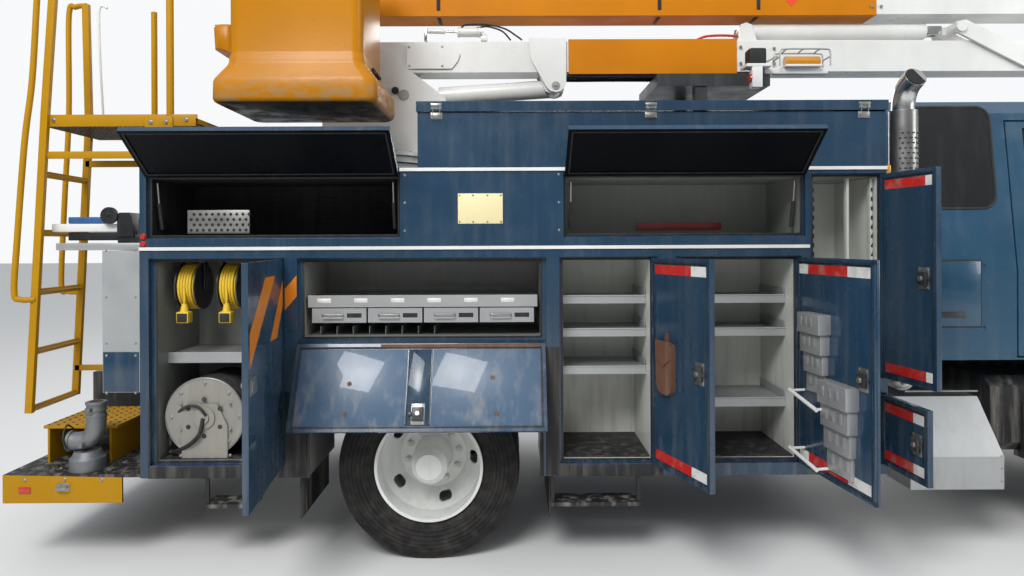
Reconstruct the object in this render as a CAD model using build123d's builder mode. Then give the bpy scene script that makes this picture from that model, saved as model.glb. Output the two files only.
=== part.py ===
from build123d import *
import os

os.makedirs("parts", exist_ok=True)

# Stations run forward from the rear axle (X), left from the centreline (Y) and up from the
# ground (Z). The part's frame has its origin under the middle of the whole truck's box.
rear_axle_x = -1660.0
centreline_y = 260.0

# Chassis
wheelbase = 5080.0
rail_outer = 432.0
rail_top = 1020.0
rail_height = 254.0
rail_flange = 80.0
rail_web = 10.0
rail_rear = -1500.0
rail_front = 5590.0
bumper_front = 5793.0

# Wheels and tyres
tyre_radius = 500.0
tyre_width = 279.0
rim_radius = 298.5
front_wheel_y = 1040.0
rear_outer_y = 1060.5
rear_inner_y = 748.5
kingpin_y = 880.0

# Service body
body_rear = -1541.0
body_front = 2490.0
body_side = 1245.0
pack_inner = 685.0
body_bottom = 474.0
body_top = 2142.0
wall = 25.0
door_thick = 28.0
door_gap = 6.0
bed_floor = 1150.0
deck_plate = 6.0
load_rear = 0.0
load_front = 1400.0
top_box_rear = -44.0
top_box_top = 2436.0
lid_thick = 60.0

# Cab
cab_back = 2606.0
cab_half = 1080.0
cab_sill = 1077.0
cab_roof = 2568.0
door_rear_seam = 3321.0

# Booms
slew_x = -512.0
lower_pivot = (-581.0, 3034.0)
lift_base = (-288.0, 2767.0)
lift_eye = (765.0, 2834.0)
elbow_pin = (5513.0, 3236.0)
upper_axis_z = 3462.0
idler_pivot = (4106.0, 2998.0)
idler_eye = (3612.0, 3235.0)
upper_cylinder_base = (2125.0, 3238.0)
tilt_pivot = (-768.0, 3400.0)
pin_clear = 0.5


def block(x, y, z, mode=Mode.ADD):
    """A plate or bar between its two ends along each axis."""
    middle = ((x[0] + x[1]) / 2, (y[0] + y[1]) / 2, (z[0] + z[1]) / 2)
    with Locations(middle):
        Box(x[1] - x[0], y[1] - y[0], z[1] - z[0], mode=mode)


def bar(start, end, radius, mode=Mode.ADD):
    """A round bar from one point to another."""
    run = Vector(*end) - Vector(*start)
    with Locations(Plane(origin=start, z_dir=run)):
        Cylinder(radius, run.length, align=(Align.CENTER, Align.CENTER, Align.MIN), mode=mode)


def cross_pin(x, z, y, radius, mode=Mode.ADD):
    """A round pin or bore along Y between the two y values, at station x and height z."""
    bar((x, y[0], z), (x, y[1], z), radius, mode)


def side_plate(points, y, mode=Mode.ADD):
    """A flat plate with its outline in X and Z, between the two y values."""
    with BuildSketch(Plane.XZ.offset(-y[1])) as outline:
        with BuildLine():
            Polyline(*points, close=True)
        make_face()
    extrude(outline.sketch, amount=y[1] - y[0], mode=mode)


def cross_section(points, x, mode=Mode.ADD):
    """A straight member with its outline in Y and Z, between the two x values."""
    with BuildSketch(Plane.YZ.offset(x[0])) as outline:
        with BuildLine():
            Polyline(*points, close=True)
        make_face()
    extrude(outline.sketch, amount=x[1] - x[0], mode=mode)


def publish(piece, label):
    """Label a finished piece and write it in the part's own frame."""
    piece.part.label = label
    export_step(piece.part.moved(Location((rear_axle_x, centreline_y, 0))), f"parts/{label}.step")


# Chassis frame: two channel rails joined by cross members, black steel.
with BuildPart() as chassis_frame:
    for side in (-1, 1):
        web_out = side * rail_outer
        with BuildSketch(Plane.YZ.offset(rail_rear)):
            with BuildLine():
                Polyline(
                    (web_out, rail_top),
                    (web_out - side * rail_flange, rail_top),
                    (web_out - side * rail_flange, rail_top - rail_web),
                    (web_out - side * rail_web, rail_top - rail_web),
                    (web_out - side * rail_web, rail_top - rail_height + rail_web),
                    (web_out - side * rail_flange, rail_top - rail_height + rail_web),
                    (web_out - side * rail_flange, rail_top - rail_height),
                    (web_out, rail_top - rail_height),
                    close=True,
                )
            make_face()
        extrude(amount=rail_front - rail_rear)
    # Cross members end 1 mm short of the webs and lie between the flanges.
    reach = rail_outer - rail_web - 1
    for member in (-1440, -700, 700, 1700, 2700, 3700, 5520):
        block((member - 40, member + 40), (-reach, reach), (rail_top - 190, rail_top - 60))
publish(chassis_frame, "chassis_frame")

# Engine with its gearbox, closed under the hood: one plain block.
with BuildPart() as engine_block:
    block((4640, 5420), (-290, 290), (640, 1440))
publish(engine_block, "engine_block")

# Axles: the front I-beam, the rear housing with its round centre, and their leaf springs.
with BuildPart() as axles:
    side_plate([(-110, 410), (-70, 640), (70, 640), (110, 410)], (-150, 150))
    cross_pin(0, tyre_radius, (-590, 590), 62)
    cross_pin(0, tyre_radius, (-1140, 1140), 38)
    for side in (-1, 1):
        with BuildSketch(Plane.XZ.offset(-side * 500 - 45)):
            with BuildLine():
                ThreePointArc((-760, 740), (0, 566), (760, 740))
                Line((760, 740), (760, 800))
                ThreePointArc((760, 800), (0, 680), (-760, 800))
                Line((-760, 800), (-760, 740))
            make_face()
        extrude(amount=90)
    block((-60, 60), (-545, -455), (540, 600))
    block((-60, 60), (455, 545), (540, 600))
with BuildPart() as front_beam:
    cross_section(
        [(-790, 560), (-700, 440), (-560, 380), (560, 380), (700, 440), (790, 560),
         (790, 590), (660, 530), (540, 500), (-540, 500), (-660, 530), (-790, 590)],
        (wheelbase - 50, wheelbase + 50),
    )
    for side in (-1, 1):
        block((wheelbase - 50, wheelbase + 50), sorted((side * 770, side * kingpin_y)), (470, 590))
        bar((wheelbase, side * kingpin_y, 470), (wheelbase, side * kingpin_y, 590), 50)
        bar((wheelbase, side * kingpin_y, 460), (wheelbase, side * kingpin_y, 600), 25 + pin_clear, Mode.SUBTRACT)
    for side in (-1, 1):
        with BuildSketch(Plane.XZ.offset(-side * 430 - 40)):
            with BuildLine():
                ThreePointArc((wheelbase - 640, 660), (wheelbase, 495), (wheelbase + 560, 660))
                Line((wheelbase + 560, 660), (wheelbase + 560, 700))
                ThreePointArc((wheelbase + 560, 700), (wheelbase, 560), (wheelbase - 640, 700))
                Line((wheelbase - 640, 700), (wheelbase - 640, 660))
            make_face()
        extrude(amount=80)
with BuildPart() as axle_set:
    add(axles.part)
    add(front_beam.part)
publish(axle_set, "axles")

# Steering knuckles: a forged yoke on the kingpin with its spindle for the wheel.
for side, hand in ((-1, "right"), (1, "left")):
    with BuildPart() as knuckle:
        king_y = side * kingpin_y
        bar((wheelbase, king_y, 410), (wheelbase, king_y, 650), 25)
        for yoke_z in (405, 612):
            bar((wheelbase, king_y, yoke_z), (wheelbase, king_y, yoke_z + 45), 48)
            block((wheelbase - 48, wheelbase + 48), sorted((king_y, side * (kingpin_y + 92))), (yoke_z, yoke_z + 45))
        block((wheelbase - 48, wheelbase + 48), sorted((side * (kingpin_y + 62), side * (kingpin_y + 92))), (405, 657))
        bar((wheelbase, side * (kingpin_y + 80), 500), (wheelbase, side * (front_wheel_y + 130), 500), 38)
        block((wheelbase - 260, wheelbase), sorted((side * (kingpin_y - 20), side * (kingpin_y + 30))), (408, 446))
    publish(knuckle, f"knuckle_{hand}")


def tyre(centre_x, centre_y):
    """A tyre of the common commercial size, its tread flat and its walls bulged."""
    half = tyre_width / 2
    with BuildSketch(Plane.YZ.offset(centre_x)) as wall_line:
        with BuildLine():
            Polyline(
                (centre_y - 100, tyre_radius + rim_radius),
                (centre_y - 112, tyre_radius + rim_radius + 26),
                (centre_y - half, tyre_radius + 405),
                (centre_y - half + 6, tyre_radius + 462),
                (centre_y - half + 24, tyre_radius + tyre_radius - 8),
                (centre_y - 60, 2 * tyre_radius),
                (centre_y + 60, 2 * tyre_radius),
                (centre_y + half - 24, 2 * tyre_radius - 8),
                (centre_y + half - 6, tyre_radius + 462),
                (centre_y + half, tyre_radius + 405),
                (centre_y + 112, tyre_radius + rim_radius + 26),
                (centre_y + 100, tyre_radius + rim_radius),
                close=True,
            )
        make_face()
    revolve(wall_line.sketch, axis=Axis((centre_x, 0, tyre_radius), (0, 1, 0)))


def rim(centre_x, centre_y, disc_y, hub_y=None):
    """A dished steel disc wheel: barrel, dish with five hand holes and, out to hub_y, its hub."""
    inward = 1 if disc_y > centre_y else -1
    face_y = disc_y - inward * 12
    outlines = [
        [(centre_y - 118, rim_radius), (centre_y + 118, rim_radius), (centre_y + 118, 282), (centre_y - 118, 282)],
        [(centre_y + inward * 20, 284), (centre_y + inward * 44, 284), (disc_y, 200), (disc_y, 42),
         (face_y, 42), (face_y, 190)],
    ]
    if hub_y is not None:
        out = 1 if hub_y > disc_y else -1
        outlines.append([(disc_y, 42), (disc_y, 112), (hub_y - out * 30, 100), (hub_y, 70), (hub_y, 42)])
    for outline in outlines:
        with BuildSketch(Plane.YZ.offset(centre_x)) as turned:
            with BuildLine():
                Polyline(*[(y, tyre_radius + r) for y, r in outline], close=True)
            make_face()
        revolve(turned.sketch, axis=Axis((centre_x, 0, tyre_radius), (0, 1, 0)))
    # Hand holes through the sloping part of the dish.
    hole_plane = Plane(origin=(centre_x, disc_y - inward * 160, tyre_radius), x_dir=(1, 0, 0), z_dir=(0, inward, 0))
    with BuildSketch(hole_plane) as holes:
        with PolarLocations(236, 5):
            SlotOverall(76, 44, rotation=90)
    extrude(holes.sketch, amount=240, mode=Mode.SUBTRACT)


# Front wheels: one tyre on a disc that stands out, on each knuckle's spindle.
for side, hand in ((-1, "right"), (1, "left")):
    with BuildPart() as front_tyre:
        tyre(wheelbase, side * front_wheel_y)
    publish(front_tyre, f"front_{hand}_tyre")
    with BuildPart() as front_rim:
        rim(wheelbase, side * front_wheel_y, side * (front_wheel_y + 70), side * (front_wheel_y + 150))
        cross_pin(wheelbase, 500, sorted((side * (front_wheel_y + 140), side * (front_wheel_y + 150))), 45)
    publish(front_rim, f"front_{hand}_rim")

# Rear wheels: two tyres a side on rims whose discs meet back to back.
for side, hand in ((-1, "right"), (1, "left")):
    with BuildPart() as rear_tyres:
        tyre(0, side * rear_outer_y)
        tyre(0, side * rear_inner_y)
    publish(rear_tyres, f"rear_{hand}_tyres")
    with BuildPart() as rear_rims:
        seam = side * (rear_outer_y + rear_inner_y) / 2
        rim(0, side * rear_outer_y, seam, side * (rear_outer_y + 110))
        rim(0, side * rear_inner_y, seam)
        cross_pin(0, 500, sorted((side * (rear_outer_y + 100), side * (rear_outer_y + 110))), 70)
    publish(rear_rims, f"rear_{hand}_rims")


# Cab: a hollow steel shell. Its outer form is the side profile crossed with the front profile.
def cab_form(inset):
    """The cab's closed form, drawn in from its outside by the inset."""
    low, back, roof = cab_sill - 17 + inset, cab_back + inset, cab_roof - inset
    with BuildPart() as form:
        with BuildSketch(Plane.XZ.offset(cab_half)):
            with BuildLine():
                Polyline(
                    (back, low), (back, roof - 60), (back + 70, roof), (3900 - inset * 0.5, roof - 6),
                    (4540 - inset * 1.3, 1815), (4590 - inset, 1740 - inset), (4590 - inset, low),
                    close=True,
                )
            make_face()
        extrude(amount=-2 * cab_half)
        half = cab_half - inset
        with BuildSketch(Plane.YZ.offset(cab_back - 10)) as front:
            with BuildLine():
                Polyline(
                    (-half, low), (-half, 1560), (-half + 110, roof - 95), (-half + 200, roof - 12),
                    (-half + 420, roof), (half - 420, roof), (half - 200, roof - 12),
                    (half - 110, roof - 95), (half, 1560), (half, low),
                    close=True,
                )
            make_face()
        extrude(amount=2200, mode=Mode.INTERSECT)
    return form.part


cab_wall = 48.0
cab_door_gap = 9.0
jamb_depth = 880.0
door_front = 4395.0
door_outline = [
    (door_rear_seam, cab_sill + 4), (door_front, cab_sill + 4), (door_front, 1815),
    (3925, 2422), (door_rear_seam, 2422),
]
window_outline = [
    (door_rear_seam + 95, 1750), (door_front - 85, 1750), (door_front - 105, 1850),
    (3880, 2385), (door_rear_seam + 95, 2385),
]


def grown(points, by):
    """The door's outline moved out all round by the seam's width."""
    with BuildSketch(Plane.XZ) as face:
        with BuildLine():
            Polyline(*points, close=True)
        make_face()
        offset(amount=by, kind=Kind.INTERSECTION)
    return face.sketch


with BuildPart() as cab_shell:
    add(cab_form(0))
    add(cab_form(cab_wall), mode=Mode.SUBTRACT)
    # Door holes, each cut in as deep as the wall leans.
    for hole_from in (1200, -jamb_depth):
        with BuildSketch(Plane.XZ.offset(hole_from)):
            add(grown(door_outline, cab_door_gap))
        extrude(amount=jamb_depth - 1200, mode=Mode.SUBTRACT)
    # Fixed side windows behind the doors.
    with BuildSketch(Plane.XZ.offset(1200)):
        with Locations((2965, 2177)):
            RectangleRounded(434, 470, 70)
    extrude(amount=-2400, mode=Mode.SUBTRACT)
    # Rear window and windscreen.
    with BuildSketch(Plane.YZ.offset(cab_back - 20)):
        with Locations((0, 2130)):
            RectangleRounded(1300, 480, 70)
    extrude(amount=140, mode=Mode.SUBTRACT)
    screen = Plane(origin=(4220, 0, 2190), x_dir=(0, 1, 0), z_dir=(753, 0, 640))
    with BuildSketch(screen):
        with BuildLine():
            Polyline((-960, -400), (960, -400), (820, 370), (-820, 370), close=True)
        make_face()
    extrude(amount=120, both=True, mode=Mode.SUBTRACT)
publish(cab_shell, "cab_shell")

# Fixed glass: windscreen, rear window and the two side panes behind the doors.
glass = 8.0
with BuildPart() as cab_glass:
    with BuildSketch(screen.offset(-34)):
        with BuildLine():
            Polyline((-956, -397), (956, -397), (817, 367), (-817, 367), close=True)
        make_face()
    extrude(amount=glass)
    with BuildSketch(Plane.YZ.offset(cab_back + 20)):
        with Locations((0, 2130)):
            RectangleRounded(1296, 476, 68)
    extrude(amount=glass)
with BuildPart() as side_panes:
    add(cab_form(20))
    add(cab_form(20 + glass), mode=Mode.SUBTRACT)
    with BuildSketch(Plane.XZ.offset(1200)):
        with Locations((2965, 2177)):
            RectangleRounded(430, 466, 68)
    extrude(amount=-2400, mode=Mode.INTERSECT)
with BuildPart() as all_glass:
    add(cab_glass.part)
    add(side_panes.part)
publish(all_glass, "cab_glass")

# Cab doors: the same shell's wall inside the door's outline, with its window cut, and a tall
# mirror on two arms. The pane is a piece of its own, set in the middle of the wall.
for side, hand in ((-1, "right"), (1, "left")):
    near, far = sorted((side * 700, side * 1200))
    with BuildPart() as cab_door:
        add(cab_form(0))
        add(cab_form(cab_wall), mode=Mode.SUBTRACT)
        with BuildSketch(Plane.XZ.offset(-far)):
            add(grown(door_outline, 0))
        extrude(amount=far - near, mode=Mode.INTERSECT)
        with BuildSketch(Plane.XZ.offset(-far)):
            with BuildLine():
                Polyline(*window_outline, close=True)
            make_face()
        extrude(amount=far - near, mode=Mode.SUBTRACT)
        # The wall alone, without the sill's floor behind it.
        block((3200, 4500), sorted((side * 600, side * (cab_half - cab_wall))), (1000, 1400), Mode.SUBTRACT)
        out = side * cab_half
        for arm_z in (1700, 2320):
            arm_from = side * (cab_half - 30 if arm_z < 1800 else cab_half - 92)
            bar((4160, arm_from, arm_z), (4190, out + side * 190, arm_z), 11)
        head = sorted((out + side * 170, out + side * 360))
        block((4165, 4225), head, (1690, 2330))
    publish(cab_door, f"cab_door_{hand}")
    with BuildPart() as door_glass:
        add(cab_form(20))
        add(cab_form(20 + glass), mode=Mode.SUBTRACT)
        with BuildSketch(Plane.XZ.offset(-far)):
            with BuildLine():
                Polyline(*window_outline, close=True)
            make_face()
        extrude(amount=far - near, mode=Mode.INTERSECT)
    publish(door_glass, f"door_glass_{hand}")

# Cab interior: two bucket seats, the rear bench, the dashboard and the steering wheel.
with BuildPart() as cab_interior:
    floor_z = cab_sill + cab_wall - 16
    for seat_y in (-520, 520):
        block((3440, 3960), (seat_y - 260, seat_y + 260), (floor_z, 1480))
        side_plate([(3400, 1480), (3540, 1480), (3440, 2180), (3320, 2180)], (seat_y - 250, seat_y + 250))
    block((2700, 3080), (-900, 900), (floor_z, 1450))
    side_plate([(2680, 1450), (2790, 1450), (2740, 1980), (2665, 1980)], (-900, 900))
    side_plate([(4180, 1380), (4530, 1380), (4530, 1700), (4330, 1740), (4210, 1690)], (-1000, 1000))
    bar((4260, 520, 1640), (4020, 520, 1800), 24)
    with Locations(Plane(origin=(4020, 520, 1800), z_dir=(-240, 0, 160))):
        Torus(215, 17)
        Box(420, 60, 16)
publish(cab_interior, "cab_interior")


# Hood and front fenders: one moulded shell that tilts forward, with its grille and lamps.
def hood_form(inset):
    """The hood's closed form, drawn in by the inset."""
    top = inset
    with BuildPart() as form:
        side_plate(
            [(4600, 990), (4600, 1800 - top), (4980, 1762 - top), (5440, 1640 - top), (5640 - top, 1500 - top),
             (5690 - top, 1300), (5700 - top, 780), (5600, 780), (5600, 990)],
            (-790 + inset, 790 - inset),
        )
        half = 790 - inset
        cross_section(
            [(-half, 700), (-half, 1480), (-half + 60, 1600), (-half + 190, 1700), (-half + 420, 1810),
             (half - 420, 1810), (half - 190, 1700), (half - 60, 1600), (half, 1480), (half, 700)],
            (4500, 5800), Mode.INTERSECT,
        )
        # The fenders round the wheels.
        side_plate(
            [(4450 + inset, 1020), (4500 + inset, 1300 - inset), (4800, 1400 - inset), (5250, 1390 - inset),
             (5560 - inset, 1290 - inset), (5680 - inset, 1120), (5690 - inset, 780), (5560, 780), (5560, 1020)],
            (-1190 + inset, 1190 - inset),
        )
    return form.part


with BuildPart() as hood:
    add(hood_form(0))
    add(hood_form(16), mode=Mode.SUBTRACT)
    # Open below, at the back and round each wheel.
    block((4400, 5560), (-1300, 1300), (900, 1040), Mode.SUBTRACT)
    block((4400, 4620), (-774, 774), (980, 1784), Mode.SUBTRACT)
    block((4400, 4606), (-1096, 1096), (900, 1500), Mode.SUBTRACT)
    cross_pin(wheelbase, tyre_radius, (-1300, 1300), 640, Mode.SUBTRACT)
    block((5570, 5680), (-1170, 1170), (700, 800), Mode.SUBTRACT)
    # Grille opening with upright bars, and a lamp in each fender's front.
    block((5600, 5720), (-430, 430), (860, 1360), Mode.SUBTRACT)
    for bar_y in range(-400, 401, 80):
        block((5672, 5690), (bar_y - 12, bar_y + 12), (850, 1370))
    block((5668, 5692), (-440, 440), (1096, 1124))
publish(hood, "hood")

# Front bumper, a deep steel channel on the frame's ends.
with BuildPart() as front_bumper:
    with BuildSketch(Plane.XY.offset(420)):
        with BuildLine():
            Polyline((5702, -1150), (5702, 1150), (5720, 1200), (5760, 1180), (5793, 900), (5793, -900),
                     (5760, -1180), (5720, -1200), close=True)
        make_face()
    extrude(amount=300)
    for side in (-1, 1):
        near, far = sorted((side * 352, side * rail_outer))
        block((5480, 5702), (near, far), (705, rail_top - rail_height))
publish(front_bumper, "front_bumper")

# Fuel tanks with cab steps on both sides, hung from the rails.
with BuildPart() as tank_steps:
    for side in (-1, 1):
        cross_section(
            [(side * 560, 500), (side * 900, 500), (side * 960, 560), (side * 960, 880), (side * 900, 940),
             (side * 560, 940), (side * 500, 880), (side * 500, 560)],
            (3240, 4380),
        )
        near, far = sorted((side * 900, side * 1130))
        for step_z in (470, 770):
            block((3420, 4330), (near, far), (step_z, step_z + 35))
        for hanger_x in (3420, 4290):
            block((hanger_x, hanger_x + 40), sorted((side * 955, side * 1060)), (470, 800))
        near, far = sorted((side * rail_outer, side * 510))
        for strap_x in (3420, 4160):
            block((strap_x, strap_x + 60), (near, far), (780, 860))
publish(tank_steps, "tank_steps")

# Aluminium storage box under the back of the cab: flat top at the back and a sloping lid.
with BuildPart() as aluminium_box:
    cross_section(
        [(-640, 388), (-640, 845), (-1026, 845), (-1225, 590), (-1245, 565), (-1245, 388)],
        (2612, 3120),
    )
    block((2700, 3000), (-641, -rail_outer), (780, 830))
publish(aluminium_box, "aluminium_box")

# Exhaust stack beside the cab's back corner: pipe, heat shield and a curved open tip.
stack_x, stack_y = 2625.0, -1164.0
with BuildPart() as exhaust_stack:
    bar((stack_x, stack_y, 950), (stack_x, stack_y, 2560), 58)
    bar((stack_x, stack_y, 1250), (stack_x, stack_y, 2500), 72)
    with BuildLine() as tip_path:
        Line((stack_x, stack_y, 2560), (stack_x, stack_y, 2590))
        TangentArc((stack_x, stack_y, 2590), (stack_x - 90, stack_y, 2680), tangent=(0, 0, 1))
    with BuildSketch(Plane(origin=(stack_x, stack_y, 2560), z_dir=(0, 0, 1))):
        Circle(55)
    sweep(path=tip_path.line)
    bar((stack_x, stack_y, 1004), (stack_x, -600, 950), 50)
publish(exhaust_stack, "exhaust_stack")


# Service body. Each compartment: its name, then the door's outline (x0, x1, z0, z1) and the
# clear opening inside the door's rebate (x0, x1, z0, z1).
right_bays = {
    "reel": ((-1488, -771, 546, 1650), (-1461, -817, 560, 1638)),
    "drawer": ((-690, 640, 1185, 1649), (-664, 614, 1228, 1632)),
    "middle": ((724, 1239, 546, 1650), (738, 1212, 560, 1638)),
    "work": ((1354, 2021, 546, 1650), (1369, 1994, 560, 1638)),
    "tall": ((2087, 2479, 1000, 2095), (2102, 2452, 1013, 2085)),
    "low": ((2087, 2479, 535, 909), (2102, 2452, 548, 898)),
    "upper_rear": ((-1500, -145, 1768, 2112), (-1488, -157, 1782, 2085)),
    "upper_front": ((747, 2043, 1768, 2112), (759, 2031, 1782, 2085)),
}
left_bays = {
    "rear": ((-1488, -771, 546, 1650), (-1461, -817, 560, 1638)),
    "front": ((1354, 2021, 546, 1650), (1369, 1994, 560, 1638)),
}
rebate = door_thick + 4


def pack(side, bays):
    """One side pack: a box with its compartments, door rebates and wheel arch cut out."""
    outer, inner = side * body_side, side * pack_inner
    block((body_rear, body_front), sorted((outer, inner)), (body_bottom, body_top))
    for door, opening in bays.values():
        gap = door_gap
        block((door[0] - gap, door[1] + gap), sorted((outer, outer - side * rebate)),
              (door[2] - gap, door[3] + gap), Mode.SUBTRACT)
        block(opening[:2], sorted((outer, inner + side * wall)), opening[2:], Mode.SUBTRACT)
    # Wheel arch with sloped upper corners.
    side_plate(
        [(-640, body_bottom - 10), (-640, 930), (-470, 1150), (470, 1150), (620, 930), (620, body_bottom - 10)],
        (min(outer, inner) - 10, max(outer, inner) + 10), Mode.SUBTRACT,
    )


with BuildPart() as right_pack:
    pack(-1, right_bays)
    # Raised trim strips along the body side, seen pale in the paint.
    for strip_x, strip_z in (((body_rear, 2070), 1708), ((body_rear + 1400, 800), body_top - 12), ((2060, body_front), body_top - 12)):
        block(strip_x, (-body_side - 8, -body_side), (strip_z - 9, strip_z + 9))
publish(right_pack, "right_pack")

with BuildPart() as left_pack:
    pack(1, left_bays)
    block((body_rear, body_front), (body_side, body_side + 8), (1699, 1717))
publish(left_pack, "left_pack")

# Bed between the packs: floor on two sills along the rails, and the front header.
with BuildPart() as bed:
    block((body_rear, body_front), (-pack_inner, pack_inner), (bed_floor - 30, bed_floor))
    for side in (-1, 1):
        near, far = sorted((side * 360, side * rail_outer))
        block((rail_rear, body_front), (near, far), (rail_top, bed_floor - 30))
    block((body_front - 40, body_front), (-pack_inner, pack_inner), (bed_floor, 1700))
    block((load_rear, load_front), (-pack_inner + 5, pack_inner - 5), (bed_floor, bed_floor + deck_plate))
publish(bed, "bed")

# Shelving: galvanised shelves, the drawer unit and its dividers. Each row is a bay's shelf:
# its x limits, its height and the depth of its front lip.
shelf_back = -pack_inner - wall
shelf_rows = (
    ((-1461, -817), 1120, 50),
    ((738, 1212), 1425, 34), ((738, 1212), 1240, 34), ((738, 1212), 1030, 34),
    ((1369, 1994), 1425, 34), ((1369, 1994), 1240, 34), ((1369, 1994), 850, 40),
)
shelf_front = -body_side + rebate + 110
with BuildPart() as shelving:
    for shelf_x, shelf_z, lip in shelf_rows:
        near, far = shelf_x[0] + 1, shelf_x[1] - 1
        block((near, far), (shelf_front, shelf_back), (shelf_z - 3, shelf_z))
        block((near, far), (shelf_front, shelf_front + 4), (shelf_z - lip, shelf_z + 10))
    # Drawer unit over the wheel: a shelf strip, four drawers and low dividers.
    drawer_front = -body_side + rebate + 12
    block((-650, 600), (drawer_front, shelf_back), (1432, 1436))
    block((-650, 600), (drawer_front, drawer_front + 4), (1385, 1450))
    for drawer in range(4):
        x0 = -630 + drawer * 305
        block((x0, x0 + 296), (drawer_front + 6, shelf_back - 20), (1300, 1380))
        block((x0 + 60, x0 + 170), (drawer_front - 6, drawer_front + 8), (1322, 1330))
    for divider in range(8):
        x0 = -600 + divider * 90
        block((x0, x0 + 3), (drawer_front + 60, shelf_back), (1230, 1275))
publish(shelving, "shelving")

# Top box over the right pack, open above under its own long lid.
with BuildPart() as top_box:
    block((top_box_rear, body_front), (-body_side, -pack_inner), (body_top + 1, top_box_top))
    block((top_box_rear + wall, body_front - wall), (-body_side + wall, -pack_inner - wall),
          (body_top + 26, top_box_top + 1), Mode.SUBTRACT)
publish(top_box, "top_box")

with BuildPart() as top_box_lid:
    block((top_box_rear - 6, body_front + 6), (-body_side - 12, -pack_inner - 6), (top_box_top + 6, top_box_top + lid_thick))
    block((top_box_rear - 3, body_front + 3), (-body_side - 9, -pack_inner - 9), (top_box_top, top_box_top + lid_thick - 3), Mode.SUBTRACT)
publish(top_box_lid, "top_box_lid")


# Right-hand doors, each made closed in its rebate and then swung to where it stands. Columns:
# label, bay, hinge line as (x or None, z or None), the swing in degrees.
def leaf(door, side):
    """A door's folded steel leaf with a raised rim inside."""
    outer = side * body_side
    block(door[:2], sorted((outer, outer - side * door_thick)), door[2:])
    rim_w = 24
    block((door[0] + rim_w, door[1] - rim_w), sorted((outer - side * (door_thick - 6), outer - side * (door_thick + 1))),
          (door[2] + rim_w, door[3] - rim_w), Mode.SUBTRACT)


swings = {
    "door_reel_bay": ("reel", Axis((-771, -body_side, 0), (0, 0, 1)), 96.4),
    "door_drawer_bay": ("drawer", Axis((0, -body_side, 1185), (1, 0, 0)), 155.4),
    "door_middle_bay": ("middle", Axis((1239, -body_side, 0), (0, 0, 1)), 110.0),
    "door_work_bay": ("work", Axis((2021, -body_side, 0), (0, 0, 1)), 97.0),
    "door_tall_bay": ("tall", Axis((2479, -body_side, 0), (0, 0, 1)), 100.0),
    "door_low_bay": ("low", Axis((2479, -body_side, 0), (0, 0, 1)), 93.0),
    "flip_door_rear": ("upper_rear", Axis((0, -body_side, 2112), (-1, 0, 0)), 127.0),
    "flip_door_front": ("upper_front", Axis((0, -body_side, 2112), (-1, 0, 0)), 127.0),
}
for label, (bay, hinge, swing) in swings.items():
    with BuildPart() as closed_leaf:
        leaf(right_bays[bay][0], -1)
        if bay == "work":
            # Stepped holders and round bars on the inside of the work bay's door.
            inside = -body_side + door_thick - 6
            for holder_x, holder_z in ((1430, 1090), (1600, 760)):
                side_plate(
                    [(holder_x, holder_z), (holder_x, holder_z + 300), (holder_x + 150, holder_z + 300),
                     (holder_x + 150, holder_z + 80), (holder_x + 110, holder_z + 40), (holder_x + 110, holder_z)],
                    (inside, inside + 80),
                )
    with BuildPart() as door_leaf:
        add(closed_leaf.part.rotate(hinge, swing))
    publish(door_leaf, label)

# Left-hand doors, closed.
for label, bay in (("left_door_rear", "rear"), ("left_door_front", "front")):
    with BuildPart() as left_door:
        leaf(left_bays[bay][0], 1)
    publish(left_door, label)

# Cord reels and the large hose reel in the rear bay, each on a bracket from the back wall.
with BuildPart() as reels:
    for reel_x in (-1325, -1000):
        cross_pin(reel_x, 1470, (shelf_back - 160, shelf_back), 30)
        cross_pin(reel_x, 1470, (shelf_back - 150, shelf_back - 142), 130)
        cross_pin(reel_x, 1470, (shelf_back - 50, shelf_back - 42), 130)
        cross_pin(reel_x, 1470, (shelf_back - 143, shelf_back - 49), 95)
    reel_x, reel_z = -1130.0, 800.0
    cross_pin(reel_x, reel_z, (shelf_back - 330, shelf_back), 45)
    cross_pin(reel_x, reel_z, (shelf_back - 300, shelf_back - 294), 225)
    cross_pin(reel_x, reel_z, (shelf_back - 60, shelf_back - 54), 225)
    cross_pin(reel_x, reel_z, (shelf_back - 295, shelf_back - 59), 160)
    block((reel_x + 60, reel_x + 210), (shelf_back - 330, shelf_back - 324), (561, 880))
    block((reel_x - 60, reel_x + 60), (shelf_back - 330, shelf_back - 301), (740, 860))
publish(reels, "reels")

# Tail: end box, bumper step with its tread plate, and the second step.
tail_rear, tail_end = -2281.0, -1741.0
with BuildPart() as tail_frame:
    block((tail_end, body_rear - 1), (-body_side, -pack_inner), (937, 1700))
    block((tail_rear, body_rear - 1), (-body_side, body_side), (480, 496))
    for side in (-1, 1):
        near, far = sorted((side * (body_side - 12), side * body_side))
        block((tail_rear, -1640), (near, far), (344, 480))
        near, far = sorted((side * 380, side * 428))
        block((tail_rear, rail_rear - 1), (near, far), (496, 900))
    block((tail_rear, tail_rear + 12), (-body_side, body_side), (344, 480))
    block((-2200, -1785), (-1035, -560), (690, 705))
    for hanger_x in (-2180, -1830):
        block((hanger_x, hanger_x + 12), (-1030, -600), (496, 690))
publish(tail_frame, "tail_frame")

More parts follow.
